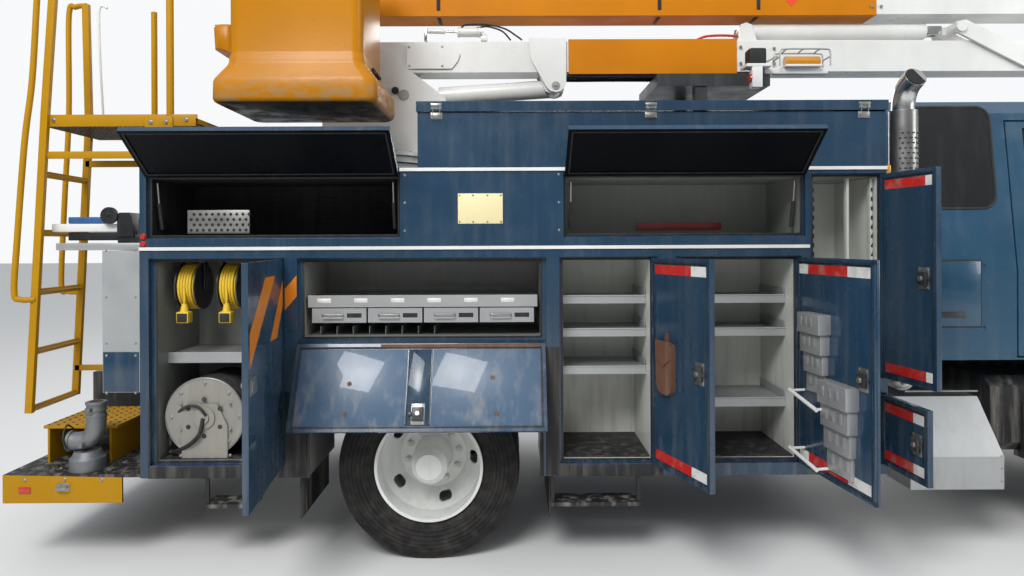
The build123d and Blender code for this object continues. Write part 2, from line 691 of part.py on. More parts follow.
# Cast fittings at the tail: the hose elbow with its coupling, and the bench vice.
with BuildPart() as rear_fittings:
    elbow_x, elbow_y = -1856.0, -1140.0
    bar((elbow_x, elbow_y, 497), (elbow_x, elbow_y, 600), 95)
    bar((elbow_x, elbow_y, 600), (elbow_x + 20, elbow_y, 700), 70)
    bar((elbow_x + 20, elbow_y, 690), (elbow_x + 20, elbow_y, 870), 55)
    bar((elbow_x + 20, elbow_y, 810), (elbow_x + 20, elbow_y, 880), 41, Mode.SUBTRACT)
    block((-1960, -1560), (-1080, -860), (1701, 1740))
    block((-1900, -1700), (-1020, -920), (1740, 1860))
    block((-1680, -1590), (-1020, -920), (1740, 1900))
    bar((-2000, -970, 1790), (-1600, -970, 1790), 18)
publish(rear_fittings, "rear_fittings")

# Access ladder, its handrails and the platform at its head, all yellow steel.
ladder_lean = (2366.0 - 2249.0) / (2513.0 - 752.0)
ladder_foot = (-2366.0, 752.0)
rail_end_z = 2900.0


def ladder_x(z):
    """The ladder's station at a height: it leans forward as it rises."""
    return ladder_foot[0] + (z - ladder_foot[1]) * ladder_lean


with BuildPart() as ladder:
    top_x = ladder_x(rail_end_z)
    for stile_y in (-1040, -576):
        side_plate(
            [(ladder_foot[0] - 30, ladder_foot[1]), (ladder_foot[0] + 30, ladder_foot[1]),
             (top_x + 30, rail_end_z), (top_x - 30, rail_end_z)],
            (stile_y - 13, stile_y + 13),
        )
    for rung in range(6):
        rung_z = 830 + 325 * rung
        bar((ladder_x(rung_z), -1040, rung_z), (ladder_x(rung_z), -576, rung_z), 15)
    for hand_y in (-1100, -516):
        stile_y = -1040 if hand_y < -1000 else -576
        bar((ladder_x(1250) - 120, hand_y, 1250), (top_x - 120, hand_y, rail_end_z), 20)
        for stay_z in (1300, 2050, 2860):
            bar((ladder_x(stay_z) - 120, hand_y, stay_z), (ladder_x(stay_z), stile_y, stay_z), 12)
    # Platform with its deep side channels, posts and the stays down to the body.
    block((-2199, -1344), (-1018, -447), (2395, 2425))
    for channel_y in ((-1026, -1010), (-455, -439)):
        block((-2199, -1344), channel_y, (2365, 2425))
    block((-2240, -2190), (-1053, -563), (2370, 2420))
    bar((-1487, -985, 2420), (-1487, -985, rail_end_z), 21)
    bar((-1750, -480, 2420), (-1750, -480, rail_end_z), 21)
    block((-1560, -1400), (-1034, -1026), (2330, 2425))
    for leg_y in (-1000, -700):
        block((-1500, -1440), (leg_y - 6, leg_y + 6), (body_top + 1, 2400))
    for stay_z in (900, 1180):
        block((ladder_x(stay_z), tail_end - 1), (-1053, -1040), (stay_z, stay_z + 40))
publish(ladder, "ladder")

# Hanging step frames below the packs and the mud flaps by the rear wheels.
with BuildPart() as underbody_steps:
    for step_x in ((-1200, -940), (668, 1153)):
        for x0 in (step_x[0], step_x[1] - 20):
            block((x0, x0 + 20), (-1230, -1215), (330, body_bottom - 1))
        block(step_x, (-1245, -1100), (310, 330))
    for flap_x in (-700, 660):
        for side in (-1, 1):
            near, far = sorted((side * 620, side * 1190))
            block((flap_x, flap_x + 8), (near, far), (230, body_bottom - 1))
publish(underbody_steps, "underbody_steps")

# Pedestal: a welded column on the bed with the slewing ring's fixed half on top.
ring_z = 2270.0
with BuildPart() as pedestal:
    with BuildSketch(Plane.XY.offset(bed_floor + 0.5)):
        with Locations((slew_x, 0)):
            RectangleRounded(820, 820, 60)
    with BuildSketch(Plane.XY.offset(ring_z - 60)):
        with Locations((slew_x, 0)):
            RectangleRounded(640, 640, 60)
    loft()
    bar((slew_x, 0, ring_z - 62), (slew_x, 0, ring_z), 400)
publish(pedestal, "pedestal")

# Turret: the ring's turning half, base plate and two sloped cheeks with the boom's pin.
cheek = (112.0, 137.0)
with BuildPart() as turret:
    bar((slew_x, 0, ring_z + 6), (slew_x, 0, ring_z + 50), 420)
    bar((slew_x, 0, ring_z + 50), (slew_x, 0, ring_z + 75), 440)
    for side in (-1, 1):
        span = sorted((side * cheek[0], side * cheek[1]))
        side_plate(
            [(-900, ring_z + 70), (-740, 3020), (-690, 3120), (-600, 3150), (-500, 3140), (-424, 3076),
             (2, 2747), (30, 2640), (-120, ring_z + 70)],
            span,
        )
        cross_pin(*lift_base, sorted((side * 46, side * cheek[1])), 30)
    cross_pin(*lower_pivot, (-150, 150), 35)
    block((-860, -820), (-120, 120), (ring_z + 70, 2800))
publish(turret, "turret")

# Lower boom: two steel tubes either side of the insulating insert, with the lugs for its
# cylinder, the upper cylinder and the idler, and the ears at the elbow.
boom_low, boom_high, boom_half = 2930.0, 3145.0, 100.0
insert_ends = (866.0, 2048.0)
with BuildPart() as lower_boom:
    block((-700, insert_ends[0]), (-boom_half, boom_half), (boom_low, boom_high))
    block((insert_ends[1], 5330), (-boom_half, boom_half), (boom_low, boom_high))
    cross_pin(*lower_pivot, (-107, 107), 70)
    cross_pin(*lower_pivot, (-110, 110), 35 + pin_clear, Mode.SUBTRACT)
    for side in (-1, 1):
        lug = sorted((side * 72, side * 92))
        side_plate([(650, boom_low + 5), (700, 2800), (740, 2785), (790, 2785), (830, 2800), (860, boom_low + 5)], lug)
        lug = sorted((side * 62, side * 80))
        base_x, base_z = upper_cylinder_base
        side_plate(
            [(base_x - 60, boom_high - 5), (base_x - 40, base_z + 30), (base_x, base_z + 45),
             (base_x + 40, base_z + 30), (base_x + 80, boom_high - 5)], lug,
        )
        ear = sorted((side * 60, side * 85))
        side_plate(
            [(5180, boom_low), (5180, boom_high), (5420, 3340), (5560, 3350), (5640, 3260), (5620, 3150), (5480, boom_low)],
            ear,
        )
        cross_pin(*idler_pivot, sorted((side * boom_half, side * 140)), 30)
    cross_pin(*lift_eye, (-92, 92), 28)
    cross_pin(*upper_cylinder_base, (-80, 80), 25)
    cross_pin(*elbow_pin, (-90, 90), 35 + pin_clear, Mode.SUBTRACT)
publish(lower_boom, "lower_boom")

with BuildPart() as lower_insert:
    block(insert_ends, (-110, 110), (2915, 3159))
publish(lower_insert, "lower_insert")


def along(start, end, distance):
    """The point (x, 0, z) at a distance along the line between two (x, z) pins."""
    run = Vector(end[0] - start[0], 0, end[1] - start[1]).normalized()
    return Vector(start[0], 0, start[1]) + run * distance


# Lift cylinder: its barrel hangs from the boom's lug, its rod reaches down to the turret.
with BuildPart() as lift_barrel:
    bar(along(lift_eye, lift_base, 40), along(lift_eye, lift_base, 820), 65)
    bar(along(lift_eye, lift_base, 130), along(lift_eye, lift_base, 830), 36 , Mode.SUBTRACT)
    cross_pin(*lift_eye, (-66, 66), 52)
    cross_pin(*lift_eye, (-70, 70), 28 + pin_clear, Mode.SUBTRACT)
publish(lift_barrel, "lift_barrel")

with BuildPart() as lift_rod:
    bar(along(lift_eye, lift_base, 200), along(lift_eye, lift_base, 1020), 35)
    cross_pin(*lift_base, (-40, 40), 48)
    cross_pin(*lift_base, (-45, 45), 31, Mode.SUBTRACT)
publish(lift_rod, "lift_rod")

# Elbow: the knuckle casting and its pin, which keep the upper boom's attitude as the lower lifts.
with BuildPart() as elbow:
    cross_pin(*elbow_pin, (-54, 54), 150)
    cross_pin(*elbow_pin, (-146, 146), 35)
publish(elbow, "elbow")

# Upper boom: steel root with its two ears, then the insulating fibre section out to the tip.
upper_low, upper_high, upper_half = upper_axis_z - 140, upper_axis_z + 140, 115.0
fibre_end = 3030.0
with BuildPart() as upper_boom:
    block((-860, fibre_end), (-upper_half, upper_half), (upper_low, upper_high))
    block((fibre_end, 5213), (-upper_half + 4, upper_half - 4), (upper_low + 6, upper_high - 6))
    for side in (-1, 1):
        ear = sorted((side * (upper_half - 8), side * 140))
        side_plate(
            [(4850, upper_low + 20), (4850, upper_high - 30), (5213, upper_high - 10), (5420, 3420), (5600, 3330),
             (5640, 3220), (5590, 3130), (5470, 3120), (5380, 3180), (5213, upper_low + 10)],
            ear,
        )
    cross_pin(*elbow_pin, (-150, 150), 35 + pin_clear, Mode.SUBTRACT)
    cross_pin(*tilt_pivot, (-130, 130), 41, Mode.SUBTRACT)
publish(upper_boom, "upper_boom")

# Upper cylinder along the lower boom's top, and the idler that it swings.
with BuildPart() as upper_barrel:
    bar(along(upper_cylinder_base, idler_eye, 60), along(upper_cylinder_base, idler_eye, 1300), 56)
    bar(along(upper_cylinder_base, idler_eye, 130), along(upper_cylinder_base, idler_eye, 1310), 31, Mode.SUBTRACT)
    base_x, base_z = upper_cylinder_base
    block((base_x, base_x + 75), (-45, 45), (base_z - 38, base_z + 38))
    cross_pin(base_x, base_z, (-45, 45), 38)
    cross_pin(base_x, base_z, (-60, 60), 25 + pin_clear, Mode.SUBTRACT)
publish(upper_barrel, "upper_barrel")

with BuildPart() as upper_rod:
    bar(along(upper_cylinder_base, idler_eye, 150), along(upper_cylinder_base, idler_eye, 1345), 30)
    for side in (-1, 1):
        fork = sorted((side * 22, side * 40))
        side_plate([(3460, 3206), (3535, 3206), (3535, 3266), (3460, 3266)], fork)
    block((3440, 3470), (-40, 40), (3206, 3266))
publish(upper_rod, "upper_rod")

with BuildPart() as idler_link:
    cross_pin(*idler_eye, (-150, 150), 38)
    for side in (-1, 1):
        arm = sorted((side * 106, side * 130))
        side_plate([(4080, 2945), (4155, 2975), (4150, 3040), (3650, 3285), (3580, 3270), (3585, 3200)], arm)
    block((3512, 3612), (-18, 18), (3208, 3262))
    cross_pin(*idler_pivot, (-140, 140), 30 + pin_clear, Mode.SUBTRACT)
publish(idler_link, "idler_link")

# Bucket mount: the tilt shaft through the boom's tip and the plate on the bucket's side.
bucket_x, bucket_y = (-1149.0, -387.0), (-1037.0, -427.0)
bucket_z = (2530.0, 3597.0)
with BuildPart() as bucket_mount:
    cross_pin(*tilt_pivot, (bucket_y[1], 130), 40)
    block((-900, -636), (bucket_y[1], bucket_y[1] + 22), (2960, 3540))
    cross_pin(*tilt_pivot, (-300, -128), 95)
publish(bucket_mount, "bucket_mount")

# Bucket: a one-man moulded fibre tub, open above, with its flared foot.
with BuildPart() as bucket:
    block(bucket_x, bucket_y, bucket_z)
    block((bucket_x[0] + 12, bucket_x[1] - 12), (bucket_y[0] + 12, bucket_y[1] - 12), (bucket_z[0] + 20, bucket_z[1] + 1), Mode.SUBTRACT)
publish(bucket, "bucket")

# Boom rest on the bed's front, with the beacon on its bracket.
with BuildPart() as boom_rest:
    for side in (-1, 1):
        block((1700, 1780), sorted((side * 240, side * 320)), (bed_floor, 2840))
    block((1440, 2200), (-330, 330), (2780, 2860))
    block((1500, 1960), (-140, 140), (2860, 2895))
publish(boom_rest, "boom_rest")
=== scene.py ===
import math

import bmesh
import bpy
from mathutils import Matrix, Vector


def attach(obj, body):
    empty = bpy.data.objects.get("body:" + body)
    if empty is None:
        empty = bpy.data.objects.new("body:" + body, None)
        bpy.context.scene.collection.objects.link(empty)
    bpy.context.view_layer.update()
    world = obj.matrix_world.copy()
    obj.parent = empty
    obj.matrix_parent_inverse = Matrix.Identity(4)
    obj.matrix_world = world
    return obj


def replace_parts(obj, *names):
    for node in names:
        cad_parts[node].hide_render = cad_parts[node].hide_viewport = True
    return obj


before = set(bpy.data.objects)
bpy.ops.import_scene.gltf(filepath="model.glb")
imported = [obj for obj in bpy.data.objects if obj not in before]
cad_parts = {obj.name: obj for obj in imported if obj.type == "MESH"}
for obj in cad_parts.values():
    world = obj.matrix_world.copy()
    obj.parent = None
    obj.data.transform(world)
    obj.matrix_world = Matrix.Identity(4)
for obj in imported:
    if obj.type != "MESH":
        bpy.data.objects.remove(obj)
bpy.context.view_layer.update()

# Camera and studio: a pale floor under the wheels, a large soft light above the near side and a
# weaker one from the front. The camera stands where the photograph was taken, level with a
# man's eyes and almost square to the body's side.
camera = bpy.data.cameras.new("camera")
camera.sensor_width = 36.0
camera.lens = 24.6
camera.shift_x = -0.003
camera.shift_y = -0.0445
camera_stand = bpy.data.objects.new("camera", camera)
camera_stand.location = (-1.197, -4.758, 1.735)
camera_stand.rotation_euler = (math.radians(90), math.radians(0.25), math.radians(-0.25))
bpy.context.scene.collection.objects.link(camera_stand)
bpy.context.scene.camera = camera_stand
bpy.context.scene.view_settings.view_transform = "Standard"


def lamp(name, place, aim, size, watts):
    """A square soft light that stands at a place and faces its aim."""
    light = bpy.data.lights.new(name, "AREA")
    light.shape = "SQUARE"
    light.size = size
    light.energy = watts
    stand = bpy.data.objects.new(name, light)
    stand.location = place
    stand.rotation_mode = "QUATERNION"
    stand.rotation_quaternion = (Vector(aim) - Vector(place)).to_track_quat("-Z", "Y")
    bpy.context.scene.collection.objects.link(stand)


lamp("key_light", (-4.0, -8.0, 8.5), (0.0, -0.5, 1.2), 4.0, 900)
lamp("front_light", (8.5, -4.0, 4.5), (0.5, 0.0, 1.4), 4.0, 260)
lamp("left_light", (1.0, 8.5, 5.0), (0.0, 0.5, 1.4), 5.0, 330)

world = bpy.data.worlds.new("studio")
world.use_nodes = True
bpy.context.scene.world = world
sky_nodes, sky_links = world.node_tree.nodes, world.node_tree.links
sky_nodes.clear()
sky_out = sky_nodes.new("ShaderNodeOutputWorld")
sky_seen = sky_nodes.new("ShaderNodeBackground")
sky_seen.inputs["Color"].default_value = (0.94, 0.95, 0.96, 1)
sky_light = sky_nodes.new("ShaderNodeBackground")
sky_light.inputs["Color"].default_value = (0.93, 0.96, 1.0, 1)
sky_mix = sky_nodes.new("ShaderNodeMixShader")
sky_ray = sky_nodes.new("ShaderNodeLightPath")
sky_clear = sky_nodes.new("ShaderNodeMath")
sky_clear.operation = "MAXIMUM"
sky_links.new(sky_ray.outputs["Is Camera Ray"], sky_clear.inputs[0])
sky_links.new(sky_ray.outputs["Is Transmission Ray"], sky_clear.inputs[1])
sky_links.new(sky_clear.outputs[0], sky_mix.inputs["Fac"])
sky_way = sky_nodes.new("ShaderNodeTexCoord")
sky_axes = sky_nodes.new("ShaderNodeSeparateXYZ")
sky_height = sky_nodes.new("ShaderNodeMapRange")
for socket, value in (("From Min", 0.0), ("From Max", 0.55), ("To Min", 0.1), ("To Max", 0.75)):
    sky_height.inputs[socket].default_value = value
sky_links.new(sky_way.outputs["Generated"], sky_axes.inputs[0])
sky_links.new(sky_axes.outputs["Z"], sky_height.inputs["Value"])
sky_links.new(sky_height.outputs[0], sky_light.inputs["Strength"])
sky_links.new(sky_light.outputs[0], sky_mix.inputs[1])
sky_links.new(sky_seen.outputs[0], sky_mix.inputs[2])
sky_links.new(sky_mix.outputs[0], sky_out.inputs["Surface"])

floor_reach = 60.0
floor_mesh = bpy.data.meshes.new("studio_floor")
floor_mesh.from_pydata(
    [(-floor_reach, -floor_reach, 0), (floor_reach, -floor_reach, 0),
     (floor_reach, floor_reach, 0), (-floor_reach, floor_reach, 0)], [], [(0, 1, 2, 3)])
studio_floor = bpy.data.objects.new("studio_floor", floor_mesh)
bpy.context.scene.collection.objects.link(studio_floor)
floor_finish = bpy.data.materials.new("studio_floor")
floor_finish.use_nodes = True
floor_finish.node_tree.nodes["Principled BSDF"].inputs["Base Color"].default_value = (0.72, 0.72, 0.71, 1)
floor_finish.node_tree.nodes["Principled BSDF"].inputs["Roughness"].default_value = 0.85
floor_mesh.materials.append(floor_finish)

# Body paint: two-pack enamel sprayed on folded steel, washed and rubbed for years, so it is
# a little uneven, dusty low down, and worn to primer along the edges.
rear_axle = Vector((-1.66, 0.26, 0.0))


def spot(x, y, z):
    """A place on the truck: metres forward of the rear axle, left of the centreline, above ground."""
    return rear_axle + Vector((x, y, z))


def shading(tree, kind, inputs=None, **settings):
    """One node of a material or node group, with its settings and its inputs, linked or fixed."""
    node = tree.nodes.new("ShaderNode" + kind)
    for name, value in settings.items():
        setattr(node, name, value)
    for name, value in (inputs or {}).items():
        if isinstance(value, bpy.types.NodeSocket):
            tree.links.new(value, node.inputs[name])
        else:
            node.inputs[name].default_value = value
    return node


def reckon(tree, how, *values, **settings):
    """The result of one sum over values, linked or fixed."""
    return shading(tree, "Math", dict(enumerate(values)), operation=how, **settings).outputs[0]


def effect(name, takes, gives):
    """An empty node group with its named inputs and outputs. Returns it with its two end nodes."""
    group = bpy.data.node_groups.new(name, "ShaderNodeTree")
    for label, kind, value in takes:
        socket = group.interface.new_socket(name=label, in_out="INPUT", socket_type="NodeSocket" + kind)
        socket.default_value = value
    for label, kind in gives:
        group.interface.new_socket(name=label, in_out="OUTPUT", socket_type="NodeSocket" + kind)
    return group, group.nodes.new("NodeGroupInput").outputs, group.nodes.new("NodeGroupOutput").inputs


def blend_colours(tree, share, first, second, how="MIX"):
    """The colour between two others."""
    return shading(tree, "Mix", {0: share, 6: first, 7: second}, data_type="RGBA", blend_type=how).outputs[2]


def spread(tree, value, low, high, to_low=0.0, to_high=1.0):
    """A value stretched from one range to another."""
    return shading(tree, "MapRange", {0: value, 1: low, 2: high, 3: to_low, 4: to_high}).outputs[0]


def mottle(tree, size, detail=3.0, stretch=(1, 1, 1), rough=0.55):
    """Noise over the piece, its grains about size metres across, stretched along the axes."""
    coords = shading(tree, "TexCoord").outputs["Object"]
    moved = shading(tree, "Mapping", {"Vector": coords, "Scale": stretch}).outputs[0]
    return shading(tree, "TexNoise", {"Vector": moved, "Scale": 1.0 / size, "Detail": detail,
                                      "Roughness": rough}).outputs["Fac"]


weathered, takes, gives = effect(
    "weathered paint",
    [("Paint", "Color", (0.5, 0.5, 0.5, 1)), ("Dust", "Color", (0.4, 0.37, 0.32, 1)),
     ("Dusting", "Float", 0.25), ("Smooth", "Float", 0.25)],
    [("Colour", "Color"), ("Roughness", "Float"), ("Height", "Float")])
broad = mottle(weathered, 0.55)
shade = spread(weathered, broad, 0.3, 0.7, 0.9, 1.08)
toned = shading(weathered, "VectorMath", {0: takes["Paint"], 3: shade}, operation="SCALE").outputs[0]
streaks = spread(weathered, mottle(weathered, 0.05, 4.0, (1, 1, 0.09)), 0.48, 0.8)
place = shading(weathered, "NewGeometry").outputs["Position"]
height = shading(weathered, "SeparateXYZ", {0: place}).outputs[2]
low_down = spread(weathered, height, 1.3, 0.35, 0.25, 1.0)
grime = reckon(weathered, "MULTIPLY", streaks, low_down)
cover = reckon(weathered, "MULTIPLY", grime, takes["Dusting"])
specks = spread(weathered, mottle(weathered, 0.012, 2.0), 0.68, 0.74, 0.0, 0.22)
speckled = reckon(weathered, "MULTIPLY", specks, takes["Dusting"])
soiled = reckon(weathered, "ADD", cover, speckled, use_clamp=True)
weathered.links.new(blend_colours(weathered, soiled, toned, takes["Dust"]), gives["Colour"])
gloss_change = spread(weathered, mottle(weathered, 0.16, 4.0), 0.3, 0.75, -0.05, 0.16)
soiled_gloss = reckon(weathered, "MULTIPLY_ADD", soiled, 0.5, gloss_change)
rough_sum = reckon(weathered, "ADD", takes["Smooth"], soiled_gloss, use_clamp=True)
weathered.links.new(rough_sum, gives["Roughness"])
weathered.links.new(mottle(weathered, 0.09, 2.0), gives["Height"])

worn_edges, takes, gives = effect(
    "worn edges", [("Round", "Float", 0.003), ("Wear", "Float", 0.5)],
    [("Mask", "Float"), ("Normal", "Vector")])
rounded = shading(worn_edges, "Bevel", {"Radius": takes["Round"]}, samples=4).outputs[0]
flat_normal = shading(worn_edges, "NewGeometry").outputs["Normal"]
turned = shading(worn_edges, "VectorMath", {0: rounded, 1: flat_normal}, operation="DOT_PRODUCT")
edge = spread(worn_edges, turned.outputs["Value"], 0.995, 0.8)
chips = spread(worn_edges, mottle(worn_edges, 0.02, 5.0, rough=0.7), 0.5, 0.62)
chipped = reckon(worn_edges, "MULTIPLY", edge, chips)
worn = reckon(worn_edges, "MULTIPLY", chipped, takes["Wear"])
worn_edges.links.new(worn, gives["Mask"])
worn_edges.links.new(rounded, gives["Normal"])


def finish_of(name, metallic=0.0, coat=0.0, specular=0.5):
    """A new material with its shader, ready for its colour, roughness and normal."""
    material = bpy.data.materials.new(name)
    material.use_nodes = True
    shader = material.node_tree.nodes["Principled BSDF"]
    shader.inputs["Metallic"].default_value = metallic
    shader.inputs["Coat Weight"].default_value = coat
    shader.inputs["Specular IOR Level"].default_value = specular
    return material, material.node_tree, shader.inputs


def use(tree, group, **inputs):
    """Places a shared effect in a material and sets its named inputs."""
    node = tree.nodes.new("ShaderNodeGroup")
    node.node_tree = group
    for name, value in inputs.items():
        if isinstance(value, bpy.types.NodeSocket):
            tree.links.new(value, node.inputs[name])
        else:
            node.inputs[name].default_value = value
    return node.outputs


undercoat = (0.22, 0.2, 0.18, 1)


def paint(name, colour, smooth=0.22, dusting=0.25, wear=0.5, coat=0.3, metallic=0.0, orange_peel=0.02,
          specular=0.5):
    """Sprayed enamel: its colour, how glossy, how dusty, and how worn to the undercoat at its edges."""
    material, tree, shader = finish_of(name, metallic=metallic, coat=coat, specular=specular)
    coated = use(tree, weathered, Paint=(*colour, 1), Dusting=dusting, Smooth=smooth)
    edges = use(tree, worn_edges, Round=0.003, Wear=wear)
    tree.links.new(blend_colours(tree, edges["Mask"], coated["Colour"], undercoat), shader["Base Color"])
    tree.links.new(coated["Roughness"], shader["Roughness"])
    skin = shading(tree, "Bump", {"Height": coated["Height"], "Strength": orange_peel * 5, "Distance": 0.01,
                                  "Normal": edges["Normal"]})
    tree.links.new(skin.outputs[0], shader["Normal"])
    return material


def dress(node, *materials):
    """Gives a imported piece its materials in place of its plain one."""
    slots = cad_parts[node].data.materials
    slots.clear()
    for material in materials:
        slots.append(material)


body_blue = paint("body_blue", (0.012, 0.041, 0.08))
for node in ("right_pack", "left_pack", "top_box", "top_box_lid", "door_reel_bay", "door_drawer_bay",
             "door_middle_bay", "door_work_bay", "door_tall_bay", "door_low_bay", "flip_door_rear",
             "flip_door_front", "left_door_rear", "left_door_front"):
    dress(node, body_blue)

# Cab, hood and doors: pressed steel in a lighter blue than the body's, kept cleaner.
cab_blue = paint("cab_blue", (0.013, 0.062, 0.115), smooth=0.18, dusting=0.15, wear=0.15)
for node in ("cab_shell", "cab_door_right", "cab_door_left", "hood"):
    dress(node, cab_blue)

# Aerial device: white enamel on welded steel, with a moulded orange insert and upper boom of glass
# fibre whose gel coat has gone dull.
boom_white = paint("boom_white", (0.74, 0.74, 0.71), smooth=0.3, dusting=0.25, wear=0.4)
for node in ("pedestal", "turret", "lower_boom", "lift_barrel", "elbow", "upper_barrel", "idler_link",
             "bucket_mount"):
    dress(node, boom_white)

boom_orange = paint("boom_orange", (0.56, 0.185, 0.001), smooth=0.5, dusting=0.0, wear=0.1, coat=0.0,
                    specular=0.15)
for node in ("lower_insert", "upper_boom"):
    dress(node, boom_orange)

# Wheels, ladder and chassis: white enamel on the discs, thick worn yellow on the ladder and dull
# black on the frame, axles, tanks and decks.
rim_white = paint("rim_white", (0.82, 0.83, 0.8), smooth=0.35, dusting=0.3, wear=0.3)
for node in ("rear_right_rims", "rear_left_rims", "front_right_rim", "front_left_rim"):
    dress(node, rim_white)

ladder_yellow = paint("ladder_yellow", (0.42, 0.21, 0.001), smooth=0.45, dusting=0.05, wear=0.9, coat=0.0,
                      specular=0.2)
dress("ladder", ladder_yellow)

chassis_black = paint("chassis_black", (0.012, 0.012, 0.013), smooth=0.5, dusting=0.7, wear=0.3, coat=0.0)
for node in ("chassis_frame", "engine_block", "axles", "knuckle_right", "knuckle_left", "front_bumper",
             "tank_steps", "bed", "tail_frame", "underbody_steps"):
    dress(node, chassis_black)

# Bare metal: galvanised shelves and reels, chromed cylinder rods and exhaust.
galvanised = paint("galvanised", (0.42, 0.43, 0.43), smooth=0.4, dusting=0.4, wear=0.1, coat=0.0,
                   metallic=0.6)
for node in ("shelving", "reels", "rear_fittings"):
    dress(node, galvanised)

bright_steel = paint("bright_steel", (0.6, 0.6, 0.59), smooth=0.18, dusting=0.15, wear=0.0, coat=0.0,
                     metallic=1.0)
for node in ("lift_rod", "upper_rod", "exhaust_stack"):
    dress(node, bright_steel)

# Cab inside: dark plastic and cloth, behind tinted glass held in rubber seals.
cab_trim = paint("cab_trim", (0.05, 0.05, 0.055), smooth=0.7, dusting=0.2, wear=0.0, coat=0.0)
dress("cab_interior", cab_trim)

tinted_glass, tree, shader = finish_of("tinted_glass")
shader["Base Color"].default_value = (0.012, 0.014, 0.015, 1)
shader["Roughness"].default_value = 0.03
shader["Transmission Weight"].default_value = 0.35
for node in ("cab_glass", "door_glass_right", "door_glass_left"):
    dress(node, tinted_glass)

# Fittings share three finishes: plated steel, black rubber and white enamel, each a little dirty
# from use.
plated = paint("plated_steel", (0.33, 0.33, 0.31), smooth=0.3, dusting=0.35, wear=0.1, coat=0.0,
               metallic=0.85)
rubber = paint("black_rubber", (0.012, 0.012, 0.013), smooth=0.65, dusting=0.3, wear=0.0, coat=0.0)
white_enamel = paint("white_enamel", (0.72, 0.72, 0.7), smooth=0.3, dusting=0.3, wear=0.4)

# Wheels: ten nuts on each disc, the hub flange's bolts and a valve stem, in steel and rubber.
# They turn with their wheel. Each piece's shapes gather on the bench until it is settled.
bench = bmesh.new()
wheelbase = 5.08
hub_height = 0.5


def rod(start, end, radius, tip=None, sides=20):
    """A turned rod or cone from one point to another."""
    start, end = Vector(start), Vector(end)
    turn = (end - start).to_track_quat("Z", "Y").to_matrix().to_4x4()
    bmesh.ops.create_cone(bench, cap_ends=True, segments=sides, radius1=radius,
                          radius2=radius if tip is None else tip, depth=(end - start).length,
                          matrix=Matrix.Translation((start + end) / 2) @ turn)


def bolt(place, facing, size=0.008):
    """A hexagon head on its washer."""
    place, facing = Vector(place), Vector(facing).normalized()
    rod(place - facing * 0.001, place + facing * size * 0.22, size * 1.25, sides=20)
    rod(place, place + facing * size * 0.8, size, size * 0.93, sides=6)


def pipe(line, radius, sides=12, closed=False):
    """A round tube along a line of points."""
    line = [Vector(point) for point in line]
    rings = []
    across = (line[1] - line[0]).orthogonal().normalized()
    for index, point in enumerate(line):
        before = line[index - 1] if index or closed else point
        after = line[(index + 1) % len(line)] if index + 1 < len(line) or closed else point
        along = (after - before).normalized()
        across = (across - along * across.dot(along)).normalized()
        up = along.cross(across)
        rings.append([bench.verts.new(point + (across * math.cos(a) + up * math.sin(a)) * radius)
                      for a in (2 * math.pi * k / sides for k in range(sides))])
    pairs = list(zip(rings, rings[1:]))
    if closed:
        pairs.append((rings[-1], rings[0]))
    for ring, following in pairs:
        for k in range(sides):
            bench.faces.new((ring[k], ring[(k + 1) % sides], following[(k + 1) % sides], following[k]))
    if not closed:
        bench.faces.new(rings[0][::-1])
        bench.faces.new(rings[-1])


def bend(points, radius, sides=12, steps=8):
    """A round tube bent smoothly through a few points."""
    given = [Vector(point) for point in points]
    given = [2 * given[0] - given[1]] + given + [2 * given[-1] - given[-2]]
    line = []
    for index in range(1, len(given) - 2):
        p0, p1, p2, p3 = given[index - 1:index + 3]
        for step in range(steps):
            t = step / steps
            line.append(0.5 * (2 * p1 + (p2 - p0) * t + (2 * p0 - 5 * p1 + 4 * p2 - p3) * t ** 2
                               + (3 * p1 - p0 - 3 * p2 + p3) * t ** 3))
    pipe(line + [given[-2]], radius, sides)


def settle(name, material, body="truck", turn=None, crisp=32):
    """Takes the piece off the bench and puts it in its place on the truck, riding on its body."""
    if turn is not None:
        bmesh.ops.transform(bench, matrix=turn, verts=bench.verts)
    bmesh.ops.translate(bench, vec=rear_axle, verts=bench.verts)
    bmesh.ops.recalc_face_normals(bench, faces=bench.faces)
    mesh = bpy.data.meshes.new(name)
    bench.to_mesh(mesh)
    bench.clear()
    mesh.polygons.foreach_set("use_smooth", [True] * len(mesh.polygons))
    mesh.set_sharp_from_angle(angle=math.radians(crisp))
    mesh.materials.append(material)
    piece = bpy.data.objects.new(name, mesh)
    bpy.context.scene.collection.objects.link(piece)
    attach(piece, body)
    return piece


